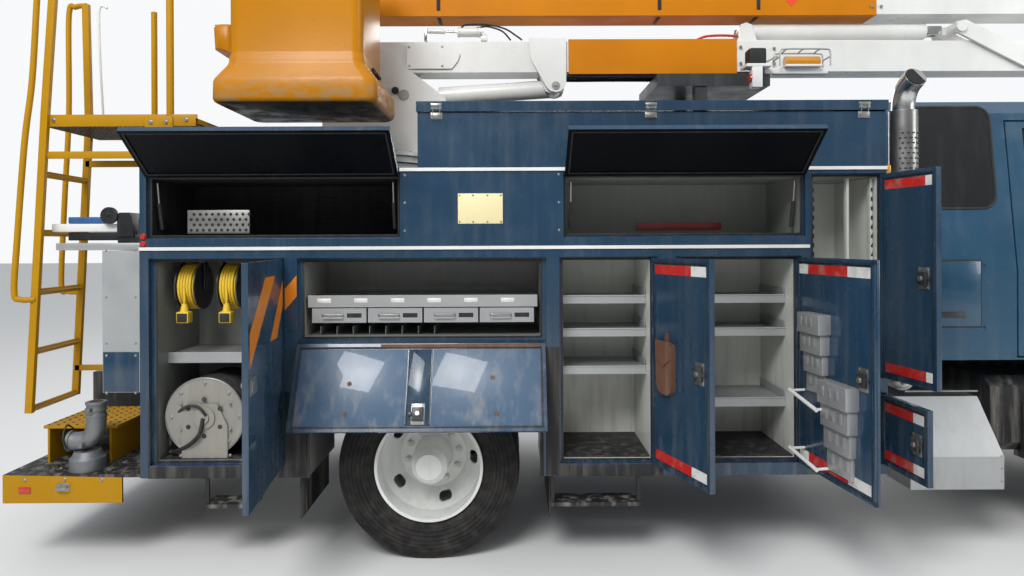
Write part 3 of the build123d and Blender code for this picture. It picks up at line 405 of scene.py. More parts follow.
wheel_bodies = (
    ("rear_right", "wheels_rear_right", 0.0, -1, 0.9165, 1.1445),
    ("rear_left", "wheels_rear_left", 0.0, 1, 0.9165, 1.1445),
    ("front_right", "wheel_front_right", wheelbase, -1, 1.11, 1.164),
    ("front_left", "wheel_front_left", wheelbase, 1, 1.11, 1.164),
)
for hand, body, wheel_x, side, disc_y, flange_y in wheel_bodies:
    out = Vector((0, side, 0))
    for nut in range(10):
        angle = 2 * math.pi * (nut + 0.3) / 10
        round_at = Vector((math.cos(angle), 0, math.sin(angle)))
        foot = Vector((wheel_x, side * disc_y, hub_height)) + round_at * 0.15
        rod(foot, foot + out * 0.006, 0.021, sides=20)
        rod(foot, foot + out * 0.026, 0.0165, sides=6)
        rod(foot, foot + out * 0.034, 0.009, 0.007, sides=12)
        bolt(Vector((wheel_x, side * flange_y, hub_height)) + round_at * 0.087, out, 0.0075)
    settle(f"{hand}_nuts", plated if "front" in hand else white_enamel, body)
    stem = Vector((wheel_x - 0.13, side * disc_y, hub_height - 0.17))
    tip = stem + Vector((-0.05, side * 0.06, -0.05))
    bend([stem, stem + Vector((-0.01, side * 0.03, -0.01)), tip], 0.004)
    rod(tip, stem + Vector((-0.057, side * 0.067, -0.057)), 0.0055)
    settle(f"{hand}_valve", rubber, body)

# Tyres: black rubber with a grooved tread and moulded rings on the walls, grey with road dust low
# down. They are seated on their rims.
for name, centre_x in (("rear", 0.0), ("front", wheelbase)):
    rubber_tyre, tree, shader = finish_of(f"{name}_tyre_rubber", specular=0.12)
    here = shading(tree, "NewGeometry").outputs["Position"]
    hub = (rear_axle.x + centre_x, 0, hub_height)
    from_hub = shading(tree, "VectorMath", {0: here, 1: hub}, operation="SUBTRACT").outputs[0]
    parts = shading(tree, "SeparateXYZ", {0: from_hub}).outputs
    square_x = reckon(tree, "POWER", parts[0], 2.0)
    square_z = reckon(tree, "POWER", parts[2], 2.0)
    radius_sum = reckon(tree, "ADD", square_x, square_z)
    radius = reckon(tree, "SQRT", radius_sum)
    angle = reckon(tree, "ARCTAN2", parts[2], parts[0])
    on_tread = spread(tree, radius, 0.488, 0.493)
    rings = reckon(tree, "PINGPONG", radius, 0.011)
    inner_edge, outer_edge = spread(tree, radius, 0.335, 0.34), spread(tree, radius, 0.475, 0.45)
    ring_zone = reckon(tree, "MULTIPLY", inner_edge, outer_edge)
    ring_height = reckon(tree, "MULTIPLY", spread(tree, rings, 0.0, 0.0035), ring_zone)
    groove = reckon(tree, "PINGPONG", parts[1], 0.026)
    cross = reckon(tree, "PINGPONG", angle, math.pi / 84)
    along, across = spread(tree, groove, 0.003, 0.006), spread(tree, cross, 0.004, 0.008)
    block_height = reckon(tree, "MINIMUM", along, across)
    tread_height = reckon(tree, "MULTIPLY", block_height, on_tread)
    all_height = reckon(tree, "ADD", ring_height, tread_height)
    lumps = shading(tree, "Bump", {"Height": all_height, "Strength": 0.8, "Distance": 0.006})
    tree.links.new(lumps.outputs[0], shader["Normal"])
    dust = spread(tree, mottle(tree, 0.05, 5.0), 0.4, 0.8, 0.02, 0.25)
    low_dust = reckon(tree, "MULTIPLY", dust, spread(tree, parts[2], 0.3, -0.5, 0.6, 1.5))
    dusty = blend_colours(tree, low_dust, (0.016, 0.016, 0.017, 1), (0.16, 0.14, 0.12, 1))
    tree.links.new(dusty, shader["Base Color"])
    tree.links.new(spread(tree, mottle(tree, 0.1), 0.3, 0.7, 0.6, 0.85), shader["Roughness"])
    for hand in ("right", "left"):
        dress(f"{name}_{hand}_tyre{'s' if name == 'rear' else ''}", rubber_tyre)

# Body sides: enamelled steel with pale strips, pale enamel linings inside the bays with darker
# copies of the lining painted in as shade where the doors shade them, and black rubber seals
# stuck round each opening. Imported pieces of several materials take each by place.
side_y = -1.245
right_bays = {
    "reel": ((-1.488, -0.771, 0.546, 1.65), (-1.461, -0.817, 0.56, 1.638)),
    "drawer": ((-0.69, 0.64, 1.185, 1.649), (-0.664, 0.614, 1.228, 1.632)),
    "middle": ((0.724, 1.239, 0.546, 1.65), (0.738, 1.212, 0.56, 1.638)),
    "work": ((1.354, 2.021, 0.546, 1.65), (1.369, 1.994, 0.56, 1.638)),
    "tall": ((2.087, 2.479, 1.0, 2.095), (2.102, 2.452, 1.013, 2.085)),
    "low": ((2.087, 2.479, 0.535, 0.909), (2.102, 2.452, 0.548, 0.898)),
    "upper_rear": ((-1.5, -0.145, 1.768, 2.112), (-1.488, -0.157, 1.782, 2.085)),
    "upper_front": ((0.747, 2.043, 1.768, 2.112), (0.759, 2.031, 1.782, 2.085)),
}


def plate(low, high, soft=0.0015):
    """A plate or bar between two corners, its edges eased."""
    made = bmesh.ops.create_cube(bench, size=1.0)["verts"]
    for vert in made:
        for axis in range(3):
            vert.co[axis] = low[axis] + (vert.co[axis] + 0.5) * (high[axis] - low[axis])
    if soft:
        edges = list({edge for vert in made for edge in vert.link_edges})
        bmesh.ops.bevel(bench, geom=edges, offset=soft, segments=2, affect="EDGES", profile=0.5)


def border(x0, x1, z0, z1, wide, near, far, soft=0):
    """Four strips just inside a rectangle on the body's side."""
    for low_x, high_x in ((x0, x0 + wide), (x1 - wide, x1)):
        plate((low_x, near, z0), (high_x, far, z1), soft)
    for low_z, high_z in ((z0, z0 + wide), (z1 - wide, z1)):
        plate((x0 + wide, near, low_z), (x1 - wide, far, high_z), soft)


def tint(node, material, where):
    """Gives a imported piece's faces a further material where its test on their middle holds."""
    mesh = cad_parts[node].data
    mesh.materials.append(material)
    index = len(mesh.materials) - 1
    for face in mesh.polygons:
        middle = face.center - rear_axle
        if where(middle.x, middle.y, middle.z):
            face.material_index = index


for _, (x0, x1, z0, z1) in right_bays.values():
    border(x0 - 0.01, x1 + 0.01, z0 - 0.01, z1 + 0.01, 0.01, side_y + 0.0292, side_y + 0.034, 0.0015)
settle("bay_seals", rubber)
# Bay linings are pale enamel. Two darker copies of it are painted shade: full shade in the upper rear bay,
# half shade in the upper front bay and in the reel and drawer bays.
pale_inside = paint("pale_inside", (0.62, 0.63, 0.58), smooth=0.45, dusting=1.3, wear=0.8)
painted_shade_lining = paint("painted_shade_lining", (0.018, 0.02, 0.018), smooth=0.7, dusting=0.15, wear=0.5, coat=0.0,
                   specular=0.2)
half_shade_lining = paint("half_shade_lining", (0.22, 0.23, 0.21), smooth=0.5, dusting=1.0, wear=0.6)
tint("right_pack", white_enamel, lambda x, y, z: y < -1.2455)
for lining, low_x, high_x, low_z, high_z in (
        (pale_inside, -1.5, 3.0, 0.55, 2.09), (painted_shade_lining, -3.0, 0.0, 1.77, 2.09),
        (half_shade_lining, 0.0, 3.0, 1.77, 2.09), (half_shade_lining, -3.0, 0.7, 0.0, 1.7)):
    tint("right_pack", lining,
         lambda x, y, z: -1.2125 < y < -0.70 and low_x < x < high_x and low_z < z < high_z)

# Door fittings: paddle handles in cups, slam latches, red and white reflective film and rubber
# edging. They are placed on the shut doors and swing open with them. The upper flip doors' inner
# faces are painted near-black blue as painted shade.
swings = {
    "reel": ("door_reel_bay", (-0.771, side_y, 0), (0, 0, 1), 96.4),
    "drawer": ("door_drawer_bay", (0, side_y, 1.185), (1, 0, 0), 155.4),
    "middle": ("door_middle_bay", (1.239, side_y, 0), (0, 0, 1), 110.0),
    "work": ("door_work_bay", (2.021, side_y, 0), (0, 0, 1), 97.0),
    "tall": ("door_tall_bay", (2.479, side_y, 0), (0, 0, 1), 100.0),
    "low": ("door_low_bay", (2.479, side_y, 0), (0, 0, 1), 93.0),
    "upper_rear": ("flip_door_rear", (0, side_y, 2.112), (-1, 0, 0), 127.0),
    "upper_front": ("flip_door_front", (0, side_y, 2.112), (-1, 0, 0), 127.0),
}
tape, tree, shader = finish_of("red_white_tape", coat=0.4)
tape_place = shading(tree, "SeparateXYZ", {0: shading(tree, "TexCoord").outputs["Object"]}).outputs
tape_phase = reckon(tree, "PINGPONG", reckon(tree, "ADD", tape_place[0], tape_place[1]), 0.3)
tape_red = spread(tree, tape_phase, 0.149, 0.151)
tape_cells = shading(tree, "TexVoronoi", {"Scale": 260.0}).outputs["Distance"]
tape_worn = spread(tree, mottle(tree, 0.06, 5.0), 0.5, 0.75, 0.0, 0.6)
tape_mixed = blend_colours(tree, tape_red, (0.7, 0.7, 0.68, 1), (0.5, 0.015, 0.012, 1))
tree.links.new(blend_colours(tree, tape_worn, tape_mixed, (0.3, 0.25, 0.2, 1)), shader["Base Color"])
tree.links.new(spread(tree, tape_cells, 0.0, 0.6, 0.22, 0.4), shader["Roughness"])
# Near-black blue: painted shade for the upper flip doors' inner faces.
painted_shade_blue = paint("painted_shade_blue", (0.002, 0.003, 0.0045), smooth=0.3, dusting=0.01, wear=0.2, coat=0.0,
                   specular=0.1)
dark_paint = paint("dark_enamel", (0.02, 0.022, 0.024), smooth=0.42, dusting=0.4, wear=0.5, coat=0.1)
inside = side_y + 0.022


def swing(place, axis, degrees):
    """Where a shut door's fitting goes when the door stands open on its hinge."""
    hinge = Matrix.Translation(place)
    return hinge @ Matrix.Rotation(math.radians(degrees), 4, axis) @ hinge.inverted()


for bay, (node, hinge, axis, degrees) in swings.items():
    x0, x1, z0, z1 = right_bays[bay][0]
    opened = swing(hinge, axis, degrees)
    flips_up = bay in ("upper_rear", "upper_front")
    latch_x, latch_z = (x0 + 0.087, (z0 + z1) / 2) if axis[2] else ((x0 + x1) / 2, z1 - 0.09)
    cup_x, cup_z = (x0 + 0.085, (z0 + z1) / 2) if axis[2] else ((x0 + x1) / 2, z1 - 0.062)
    if flips_up:
        cup_z = z0 + 0.062
    if bay in ("middle", "work", "tall", "low"):
        for strip_z in (z0 + 0.034, z1 - 0.086):
            plate((x0 + 0.03, inside - 0.0005, strip_z), (x1 - 0.03, inside + 0.0012, strip_z + 0.05), 0)
        settle(f"{node}_tape", tape, node, opened)
    border(x0 + 0.018, x1 - 0.018, z0 + 0.018, z1 - 0.018, 0.008, side_y + 0.0275, side_y + 0.0283)
    settle(f"{node}_edging", rubber, node, opened)
    if not flips_up:
        plate((latch_x - 0.03, inside + 0.004, latch_z - 0.034),
              (latch_x + 0.03, inside + 0.02, latch_z + 0.034), 0.003)
        plate((latch_x - 0.05, inside + 0.004, latch_z - 0.01),
              (latch_x - 0.028, inside + 0.016, latch_z + 0.01), 0.003)
        settle(f"{node}_latch", dark_paint, node, opened)
        if bay == "drawer":
            for rib_x in (latch_x - 0.064, latch_x + 0.058):
                plate((rib_x, inside - 0.0005, z0 + 0.03), (rib_x + 0.003, inside + 0.005, z1 - 0.04))
        plate((latch_x - 0.036, inside - 0.0005, latch_z - 0.055),
              (latch_x + 0.036, inside + 0.004, latch_z + 0.055), 0.002)
        rod((latch_x, inside + 0.02, latch_z), (latch_x, inside + 0.03, latch_z), 0.014, 0.012)
        for x in (latch_x - 0.027, latch_x + 0.027):
            for z in (latch_z - 0.045, latch_z + 0.045):
                bolt((x, inside + 0.004, z), (0, 1, 0), 0.004)
        settle(f"{node}_hardware", plated, node, opened)
    plate((cup_x - 0.06, side_y - 0.0025, cup_z - 0.04), (cup_x + 0.06, side_y + 0.001, cup_z + 0.04), 0.002)
    plate((cup_x - 0.042, side_y - 0.007, cup_z - 0.025),
          (cup_x + 0.042, side_y - 0.0025, cup_z + 0.025), 0.002)
    settle(f"{node}_handle", plated, node, opened)
    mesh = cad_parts[node].data
    mesh.materials.append(plated)
    if flips_up:
        mesh.materials.append(painted_shade_blue)
    for face in mesh.polygons:
        shut = opened.inverted() @ (face.center - rear_axle)
        if abs(shut.x - cup_x) < 0.062 and abs(shut.z - cup_z) < 0.042 and -1.2449 < shut.y < -1.2352:
            face.material_index = 1
        # Painted shade on the flip doors' inner faces.
        elif flips_up and shut.y > -1.2235:
            face.material_index = 2

# Work bay's door: a folded and painted leaf with two stepped galvanised tool holders riveted on
# and two enamelled bars welded across their tops.
x0, x1, z0, z1 = right_bays["work"][0]
opened = swing(*swings["work"][1:])
plate((x0, side_y, z0), (x1, side_y + 0.022, z1), 0.003)
for low_x, low_z, high_x, high_z in ((x0, z0, x0 + 0.024, z1), (x1 - 0.024, z0, x1, z1),
                                     (x0, z0, x1, z0 + 0.024), (x0, z1 - 0.024, x1, z1)):
    plate((low_x, side_y + 0.012, low_z), (high_x, side_y + 0.028, high_z), 0.002)
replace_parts(settle("work_door_leaf", body_blue, "door_work_bay", opened), "door_work_bay")
for near_x, far_x, low_z, high_z in ((1.70, 1.90, 0.96, 1.37), (1.475, 1.715, 0.607, 1.053)):
    rise = (high_z - low_z) / 4
    for step in range(4):
        front = side_y + 0.022 + 0.017 * (step + 1)
        step_z = low_z + rise * step
        plate((near_x + 0.012 * (3 - step), side_y + 0.0215, step_z),
              (far_x, front, step_z + rise - 0.002), 0.002)
        for k in range(3):
            x = near_x + 0.06 + k * (far_x - near_x - 0.06) / 3
            plate((x, front, step_z + rise * 0.35), (x + 0.035, front + 0.0012, step_z + rise * 0.8), 0.0004)
settle("tool_holders", galvanised, "door_work_bay", opened)
bar_y = side_y + 0.10
for high_z, low_z in ((0.95, 0.90), (0.645, 0.605)):
    rod((1.96, bar_y, high_z), (1.70, bar_y, low_z), 0.010)
    for x, z in ((1.95, high_z - 0.002), (1.71, low_z + 0.002)):
        rod((x, inside, z), (x, bar_y, z), 0.007)
settle("holder_bars", white_enamel, "door_work_bay", opened)

# Leather pouch: saddle leather with a flap and a hanging tab, riveted to the inner face of the
# middle bay's door.
pouch = [(1.02, 1.0), (1.03, 0.965), (1.06, 0.945), (1.12, 0.945), (1.15, 0.965), (1.16, 1.0),
         (1.165, 1.15), (1.16, 1.2), (1.12, 1.215), (1.06, 1.215), (1.025, 1.2), (1.02, 1.15)]
flap = [(1.03, 1.13), (1.09, 1.09), (1.155, 1.13), (1.16, 1.222), (1.025, 1.222)]
tab = [(1.075, 1.215), (1.11, 1.215), (1.105, 1.262), (1.08, 1.262)]


def prism(points, low, high):
    """A flat piece drawn by its corners in X and Z, between two Y values."""
    near, far = ([bench.verts.new((x, y, z)) for x, z in points] for y in (low, high))
    bench.faces.new(near)
    bench.faces.new(far[::-1])
    for k in range(len(points)):
        j = (k + 1) % len(points)
        bench.faces.new((near[k], far[k], far[j], near[j]))


prism(pouch, side_y + 0.0215, side_y + 0.05)
prism(flap, side_y + 0.05, side_y + 0.057)
prism(tab, side_y + 0.0215, side_y + 0.03)
leather = paint("saddle_leather", (0.13, 0.055, 0.03), smooth=0.6, dusting=0.5, wear=0.6, coat=0.0,
                orange_peel=0.15)
settle("leather_pouch", leather, "door_middle_bay", swing(*swings["middle"][1:]))

# Drop door: its inner face is a paler blue in two halves, partly rubbed paint and partly a painted
# highlight of the sky it faces, with a painted channel between them for the latch, and rusted where
# bolts and the lower edge have lost their paint.
x0, x1, z0, z1 = right_bays["drawer"][0]
opened = swing(*swings["drawer"][1:])
for low_x, high_x in ((x0 + 0.028, -0.093), (0.042, x1 - 0.028)):
    plate((low_x, side_y + 0.0215, z0 + 0.03), (high_x, side_y + 0.0232, z1 - 0.03), 0.0006)
# Paler blue: partly rubbed paint, partly painted highlight.
rubbed_and_sheen_blue = paint("rubbed_and_sheen_paint", (0.06, 0.11, 0.18), smooth=0.34, dusting=0.7, wear=1.0)
settle("drop_door_faces", rubbed_and_sheen_blue, "door_drawer_bay", opened)
plate((-0.09, side_y + 0.0215, z0 + 0.03), (0.039, side_y + 0.0226, z1 - 0.03), 0.0004)
settle("drop_door_channel", body_blue, "door_drawer_bay", opened)
for x, z in ((-0.39, 1.40), (0.36, 1.37), (-0.40, 1.56), (0.38, 1.56)):
    rod((x, side_y + 0.0225, z), (x, side_y + 0.0238, z), 0.013, 0.012)
plate((x0 + 0.45, side_y + 0.0215, z0 + 0.004), (x1 - 0.03, side_y + 0.0292, z0 + 0.022), 0.001)
rusted = paint("rusted_steel", (0.13, 0.06, 0.03), smooth=0.8, dusting=0.6, wear=0.0, coat=0.0)
settle("drop_door_marks", rusted, "door_drawer_bay", opened)

# Gas struts of the upper doors: a black barrel with a plated rod, pinned at each end of a bay.
strut_places = (-1.462, -0.183, 0.785, 2.005)
for x in strut_places:
    rod((x, -1.155, 1.815), (x, -1.19, 1.955), 0.010)
settle("strut_barrels", rubber)
for x in strut_places:
    rod((x, -1.19, 1.955), (x, -1.208, 2.065), 0.005)
settle("strut_rods", plated)

# Stripes: orange film stuck on the rear door's outer face and on the post beside it.
film_orange = paint("film_orange", (0.62, 0.19, 0.006), smooth=0.4, dusting=0.15, wear=0.0, coat=0.0)
film_in, film_out = 0.0002, -0.0008
for points in ([(-0.96, 1.571), (-1.17, 1.571), (-1.462, 1.335), (-1.462, 1.18)],
               [(-0.785, 1.535), (-0.785, 1.40), (-0.925, 1.248), (-1.073, 1.248)]):
    prism(points, side_y + film_in, side_y + film_out)
settle("reel_door_stripes", film_orange, "door_reel_bay", swing(*swings["reel"][1:]))
prism([(-0.762, 1.375), (-0.762, 1.49), (-0.698, 1.563), (-0.698, 1.448)],
      side_y + film_in, side_y + film_out)
settle("post_stripe", film_orange)

# Fixed upper panel between the flip doors: a blank cream plate on eight plated screws, and the
# panel's own bolts.
plate((0.172, side_y - 0.003, 1.837), (0.414, side_y, 2.0), 0.001)
cream = paint("cream_label", (0.78, 0.68, 0.38), smooth=0.4, dusting=0.35, wear=0.2)
settle("blank_plate", cream)
for x in (0.182, 0.254, 0.332, 0.404):
    for z in (1.847, 1.99):
        bolt((x, side_y - 0.003, z), (0, -1, 0), 0.004)
for x in (-0.115, 0.717):
    for z in (1.8, 1.95, 2.1):
        bolt((x, side_y, z), (0, -1, 0), 0.006)
settle("panel_screws", plated)

# Wheel arch: a rubber lip pressed on its edge, with black wear strips screwed beside it and along
# the sills.
lip = [(-0.64, 0.474), (-0.64, 0.93), (-0.47, 1.15), (0.47, 1.15), (0.62, 0.93), (0.62, 0.474)]
for low_x, low_z, high_x, high_z, thick in (
        (0.642, 0.478, 0.715, 1.17, 0.002), (-0.764, 0.478, -0.644, 0.93, 0.002),
        (-1.5, 0.4725, -0.70, 0.536, 0.0018), (0.70, 0.4725, 1.275, 0.536, 0.0018),
        (-1.5, 0.536, -1.49, 0.90, 0.0018)):
    plate((low_x, side_y - thick, low_z), (high_x, side_y, high_z), 0.0005)
for (ax, az), (bx, bz) in zip(lip, lip[1:]):
    rod((ax, side_y + 0.002, az), (bx, side_y + 0.002, bz), 0.009, sides=12)
for x, z in lip[1:-1]:
    rod((x, side_y + 0.01, z), (x, side_y - 0.006, z), 0.0095, sides=12)
settle("arch_lip", rubber)

# Top box latches: plated toggles with wire loops screwed below the lid and keepers riveted to the
# lid, with the marker lamps at the body's ends.
toggle_places = (0.059, 1.215, 2.366)
for x in toggle_places:
    plate((x - 0.032, side_y - 0.004, 2.400), (x + 0.032, side_y, 2.436), 0.0015)
    plate((x - 0.022, side_y - 0.013, 2.404), (x + 0.022, side_y - 0.004, 2.432), 0.003)
    for wire_x in (x - 0.019, x + 0.019):
        bend([(wire_x, side_y - 0.01, 2.43), (wire_x, side_y - 0.016, 2.45),
              (wire_x, side_y - 0.016, 2.468)], 0.0026)
    rod((x - 0.019, side_y - 0.016, 2.468), (x + 0.019, side_y - 0.016, 2.468), 0.0026, sides=10)
    for screw_x in (x - 0.027, x + 0.027):
        bolt((screw_x, side_y - 0.004, 2.407), (0, -1, 0), 0.003)
settle("lid_toggles", plated)
for x in toggle_places:
    plate((x - 0.03, side_y - 0.0145, 2.452), (x + 0.03, side_y - 0.0115, 2.485), 0.001)
    plate((x - 0.03, side_y - 0.022, 2.470), (x + 0.03, side_y - 0.014, 2.477), 0.002)
settle("lid_keepers", plated, "top_box_lid")
plate((2.489, -1.243, 2.088), (2.516, -1.213, 2.146), 0.006)
amber = paint("amber_lens", (0.62, 0.26, 0.006), smooth=0.12, dusting=0.1, wear=0.0, coat=0.6)
settle("front_marker", amber)
for z in (1.735, 1.775):
    rod((-1.52, side_y + 0.002, z), (-1.52, side_y - 0.012, z), 0.017, 0.013)
red_lens = paint("red_lens", (0.5, 0.02, 0.012), smooth=0.12, dusting=0.1, wear=0.0, coat=0.6)
settle("rear_marker", red_lens)

# Cord reels: two black enamelled drums on arms from the bay's roof, wound with yellow cable that
# ends in a moulded socket.
reel_places = (-1.344, -1.112)


def hoop(centre, normal, radius, thick, sides=10, steps=48):
    """A ring of round bar."""
    turn = Vector(normal).to_track_quat("Z", "Y").to_matrix()
    pipe([Vector(centre) + turn @ Vector((radius * math.cos(a), radius * math.sin(a), 0))
          for a in (2 * math.pi * k / steps for k in range(steps))], thick, sides, closed=True)


for reel_x in reel_places:
    for layer, radius in enumerate((0.108, 0.1215)):
        for number in range(6 - layer):
            turn_x = reel_x - 0.041 + 0.0075 * layer + number * 0.0155
            hoop((turn_x, -1.03, 1.495), (1, 0, 0), radius, 0.0076, 8, 44)
cable_yellow = paint("cable_yellow", (0.75, 0.5, 0.03), smooth=0.45, dusting=0.25, wear=0.0, coat=0.0)
settle("wound_cable", cable_yellow)
for reel_x in reel_places:
    bend([(reel_x, -1.158, 1.49), (reel_x + 0.004, -1.16, 1.44), (reel_x, -1.152, 1.40)], 0.0072)
    rod((reel_x, -1.152, 1.405), (reel_x, -1.152, 1.36), 0.014, 0.024)
    plate((reel_x - 0.034, -1.184, 1.30), (reel_x + 0.034, -1.12, 1.362), 0.008)
settle("cable_sockets", cable_yellow)
for reel_x in reel_places:
    plate((reel_x - 0.027, -1.1865, 1.306), (reel_x + 0.027, -1.183, 1.354), 0.003)
settle("socket_faces", rubber)
for reel_x in reel_places:
    for half, radius, sides in ((0.064, 0.014, 20), (0.05, 0.1, 40)):
        rod((reel_x - half, -1.03, 1.495), (reel_x + half, -1.03, 1.495), radius, sides=sides)
    for flange_x in (reel_x - 0.056, reel_x + 0.05):
        rod((flange_x, -1.03, 1.495), (flange_x + 0.006, -1.03, 1.495), 0.13, sides=48)
    for arm_x in (reel_x - 0.068, reel_x + 0.062):
        plate((arm_x, -1.052, 1.475), (arm_x + 0.006, -1.008, 1.638), 0.001)
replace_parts(settle("cord_reels", dark_paint), "reels")

# Hose reel: a dirty zinc drum between two discs, bolted to the bay's floor by a shaped bracket and
# wound with black hose. Its supply lines are clamped at the hub.
hub_x, hub_z = -1.222, 0.785


def round_hub(radius, angle):
    """A place at a radius and angle round the hose reel's hub."""
    return hub_x + radius * math.cos(angle), hub_z + radius * math.sin(angle)


for k in range(8):
    x, z = round_hub(0.185, 2 * math.pi * k / 8)
    bolt((x, -1.1795, z), (0, -1, 0), 0.008)
for x in (-1.35, -1.081):
    for z in (0.58, 0.72, 0.86):
        bolt((x, -1.1915, z), (0, -1, 0), 0.007)
hoop((hub_x, -1.177, hub_z), (0, 1, 0), 0.214, 0.006, 8, 60)
settle("hose_reel_bolts", plated)
for layer, radius in enumerate((0.162, 0.184, 0.203)):
    for number in range(15):
        turn_y = -1.162 + number * 0.0243 + 0.012 * (layer % 2)
        hoop((hub_x, turn_y, hub_z), (0, 1, 0), radius, 0.0115, 8, 40)
settle("wound_hose", rubber)
for front, back, radius, tip, sides in (
        (-1.18, -1.174, 0.218, 0.218, 64), (-0.806, -0.80, 0.218, 0.218, 64),
        (-1.175, -0.805, 0.15, 0.15, 48), (-1.206, -0.712, 0.03, 0.03, 28),
        (-1.198, -1.186, 0.06, 0.055, 32)):
    rod((hub_x, front, hub_z), (hub_x, back, hub_z), radius, tip, sides)
prism([(-1.345, 0.5615), (-1.345, 0.74), (-1.30, 0.86), (-1.15, 0.86), (-1.095, 0.74), (-1.095, 0.5615)],
      -1.1905, -1.187)
dirty_zinc = paint("dirty_zinc", (0.30, 0.29, 0.26), smooth=0.5, dusting=1.6, wear=0.6, coat=0.0,
                   metallic=0.35)
settle("hose_reel", dirty_zinc)
for k in range(6):
    x, z = round_hub(0.10, 2 * math.pi * (k + 0.5) / 6)
    rod((x, -1.1912, z), (x, -1.1896, z), 0.013, sides=16)
bend([(hub_x, -1.205, hub_z), (-1.24, -1.212, 0.70), (-1.30, -1.2, 0.64), (-1.38, -1.17, 0.60),
      (-1.43, -1.14, 0.585)], 0.011, 14)
bend([(-1.205, -1.205, 0.80), (-1.25, -1.21, 0.85), (-1.33, -1.19, 0.84), (-1.41, -1.15, 0.76),
      (-1.435, -1.13, 0.62)], 0.008, 12)
settle("reel_lines", rubber)
bend([(-1.02, -1.12, 1.20), (-0.96, -1.13, 1.23), (-0.88, -1.12, 1.25), (-0.84, -1.10, 1.22)], 0.016, 14)
settle("orange_lead", cable_yellow)

# Drawers: plated wire handles, dark label slots and blank white labels riveted to their fronts.
drawer_places = [-0.63 + number * 0.305 for number in range(4)]
for x in drawer_places:
    bend([(x + 0.06, -1.199, 1.338), (x + 0.062, -1.206, 1.345), (x + 0.11, -1.208, 1.345),
          (x + 0.168, -1.206, 1.345), (x + 0.17, -1.199, 1.338)], 0.003)
settle("drawer_handles", plated)
for x in drawer_places:
    plate((x + 0.19, -1.1955, 1.328), (x + 0.27, -1.1948, 1.352), 0)
settle("drawer_slots", rubber)
for x in (-0.6 + number * 0.2 for number in range(6)):
    plate((x, -1.2018, 1.408), (x + 0.075, -1.2008, 1.434), 0.0003)
settle("blank_labels", white_enamel)

# Bay linings: slotted pale uprights in the tall bay, their slots drawn as black strips of painted
# shade, rolled edges and folded ends on the shelves, rubber mats on the floors, louvres in the dark
# painted shade colour of the upper rear bay's lining and a red strip in the upper bays, all screwed
# in place.
for x in (2.30, 2.43):
    plate((x, -1.185, 1.018), (x + 0.014, -1.15, 2.08), 0.001)
for z in (1.04 + row * 0.052 for row in range(20)):
    plate((2.434, -1.1865, z), (2.440, -1.1845, z + 0.03), 0)
rail_pale = paint("rail_pale", (0.5, 0.51, 0.48), smooth=0.5, dusting=0.8, wear=0.4)
settle("tall_bay_uprights", rail_pale)
# The uprights' slots: black strips of painted shade.
for z in (1.05 + 0.05 * k for k in range(20)):
    for x in (2.111, 2.433):
        plate((x, -1.1858, z), (x + 0.01, -1.1849, z + 0.026), 0)
settle("upright_slot_shade", rubber)
for x0, x1, levels in ((0.739, 1.211, (1.425, 1.24, 1.03)), (1.37, 1.993, (1.425, 1.24, 0.85))):
    for z in levels:
        rod((x0, -1.1035, z + 0.0095), (x1, -1.1035, z + 0.0095), 0.0045, sides=10)
        for end in (x0 + 0.006, x1 - 0.009):
            plate((end, -1.1, z), (end + 0.003, -0.72, z + 0.05), 0.0005)
settle("shelf_edges", galvanised)
for x0, x1, top in ((0.739, 1.211, 0.567), (1.37, 1.993, 0.567), (-1.46, -0.818, 0.565)):
    plate((x0, -1.2, 0.561), (x1, -0.715, top), 0.001)
settle("bay_liners", rubber)
# The louvres take the painted shade colour of the upper rear bay's lining.
plate((-1.48, -0.7115, 1.79), (-0.165, -0.714, 2.078), 0)
for x in (-1.36, -1.02, -0.68, -0.34):
    for z in (1.86 + 0.03 * k for k in range(6)):
        rod((x - 0.07, -0.716, z), (x + 0.07, -0.716, z), 0.006, sides=8)
settle("upper_louvres", painted_shade_lining)
plate((1.23, -0.722, 1.809), (1.75, -0.712, 1.852), 0.001)
settle("upper_front_strip", paint("red_enamel", (0.45, 0.03, 0.02), dusting=0.4))

# Perforated plate: plated sheet standing in the upper rear bay, its staggered round holes drawn as
# black discs of painted shade.
plate((-1.32, -1.165, 1.79), (-0.98, -1.161, 1.92), 0.0008)
settle("perforated_plate", plated)
# Painted shade: black discs where the holes are.
for row in range(4):
    for column in range(10):
        x, z = -1.30 + column * 0.0335 + 0.0165 * (row % 2), 1.81 + row * 0.029
        rod((x, -1.1662, z), (x, -1.1648, z), 0.0085, sides=14)
settle("perforation_shade_discs", rubber)

# Ladder: square stiles that run up into posts, square rungs, bent round handrails and the
# platform's folded channels, welded, painted yellow and bolted to the body.
near_y, far_y = -1.095, -0.64
rung_ends = [(-2.238 + (z - 0.794) * 0.05757, -2.262 + (z - 0.8) * 0.0536, z)
             for z in (0.812, 1.134, 1.468, 1.8, 2.129)]
near_stile = ((-2.238, 0.794), (-2.141, 2.479), (-2.087, 3.245))
far_stile = ((-2.262, 0.8), (-2.172, 2.479), (-2.188, 3.23))
for stile, y in ((near_stile, near_y), (far_stile, far_y)):
    prism([(x - 0.02, z) for x, z in stile] + [(x + 0.02, z) for x, z in reversed(stile)],
          y - 0.013, y + 0.013)
for near_x, far_x, z in rung_ends:
    rod((near_x, near_y, z), (far_x, far_y, z), 0.019, sides=4)
bend([(-2.2, -1.1, 1.428), (-2.262, -1.125, 1.43), (-2.296, -1.13, 1.47), (-2.279, -1.13, 1.75),
      (-2.235, -1.13, 2.3), (-2.19, -1.13, 2.66), (-2.155, -1.13, 3.2), (-2.135, -1.122, 3.245),
      (-2.09, -1.1, 3.24)], 0.016, 16)
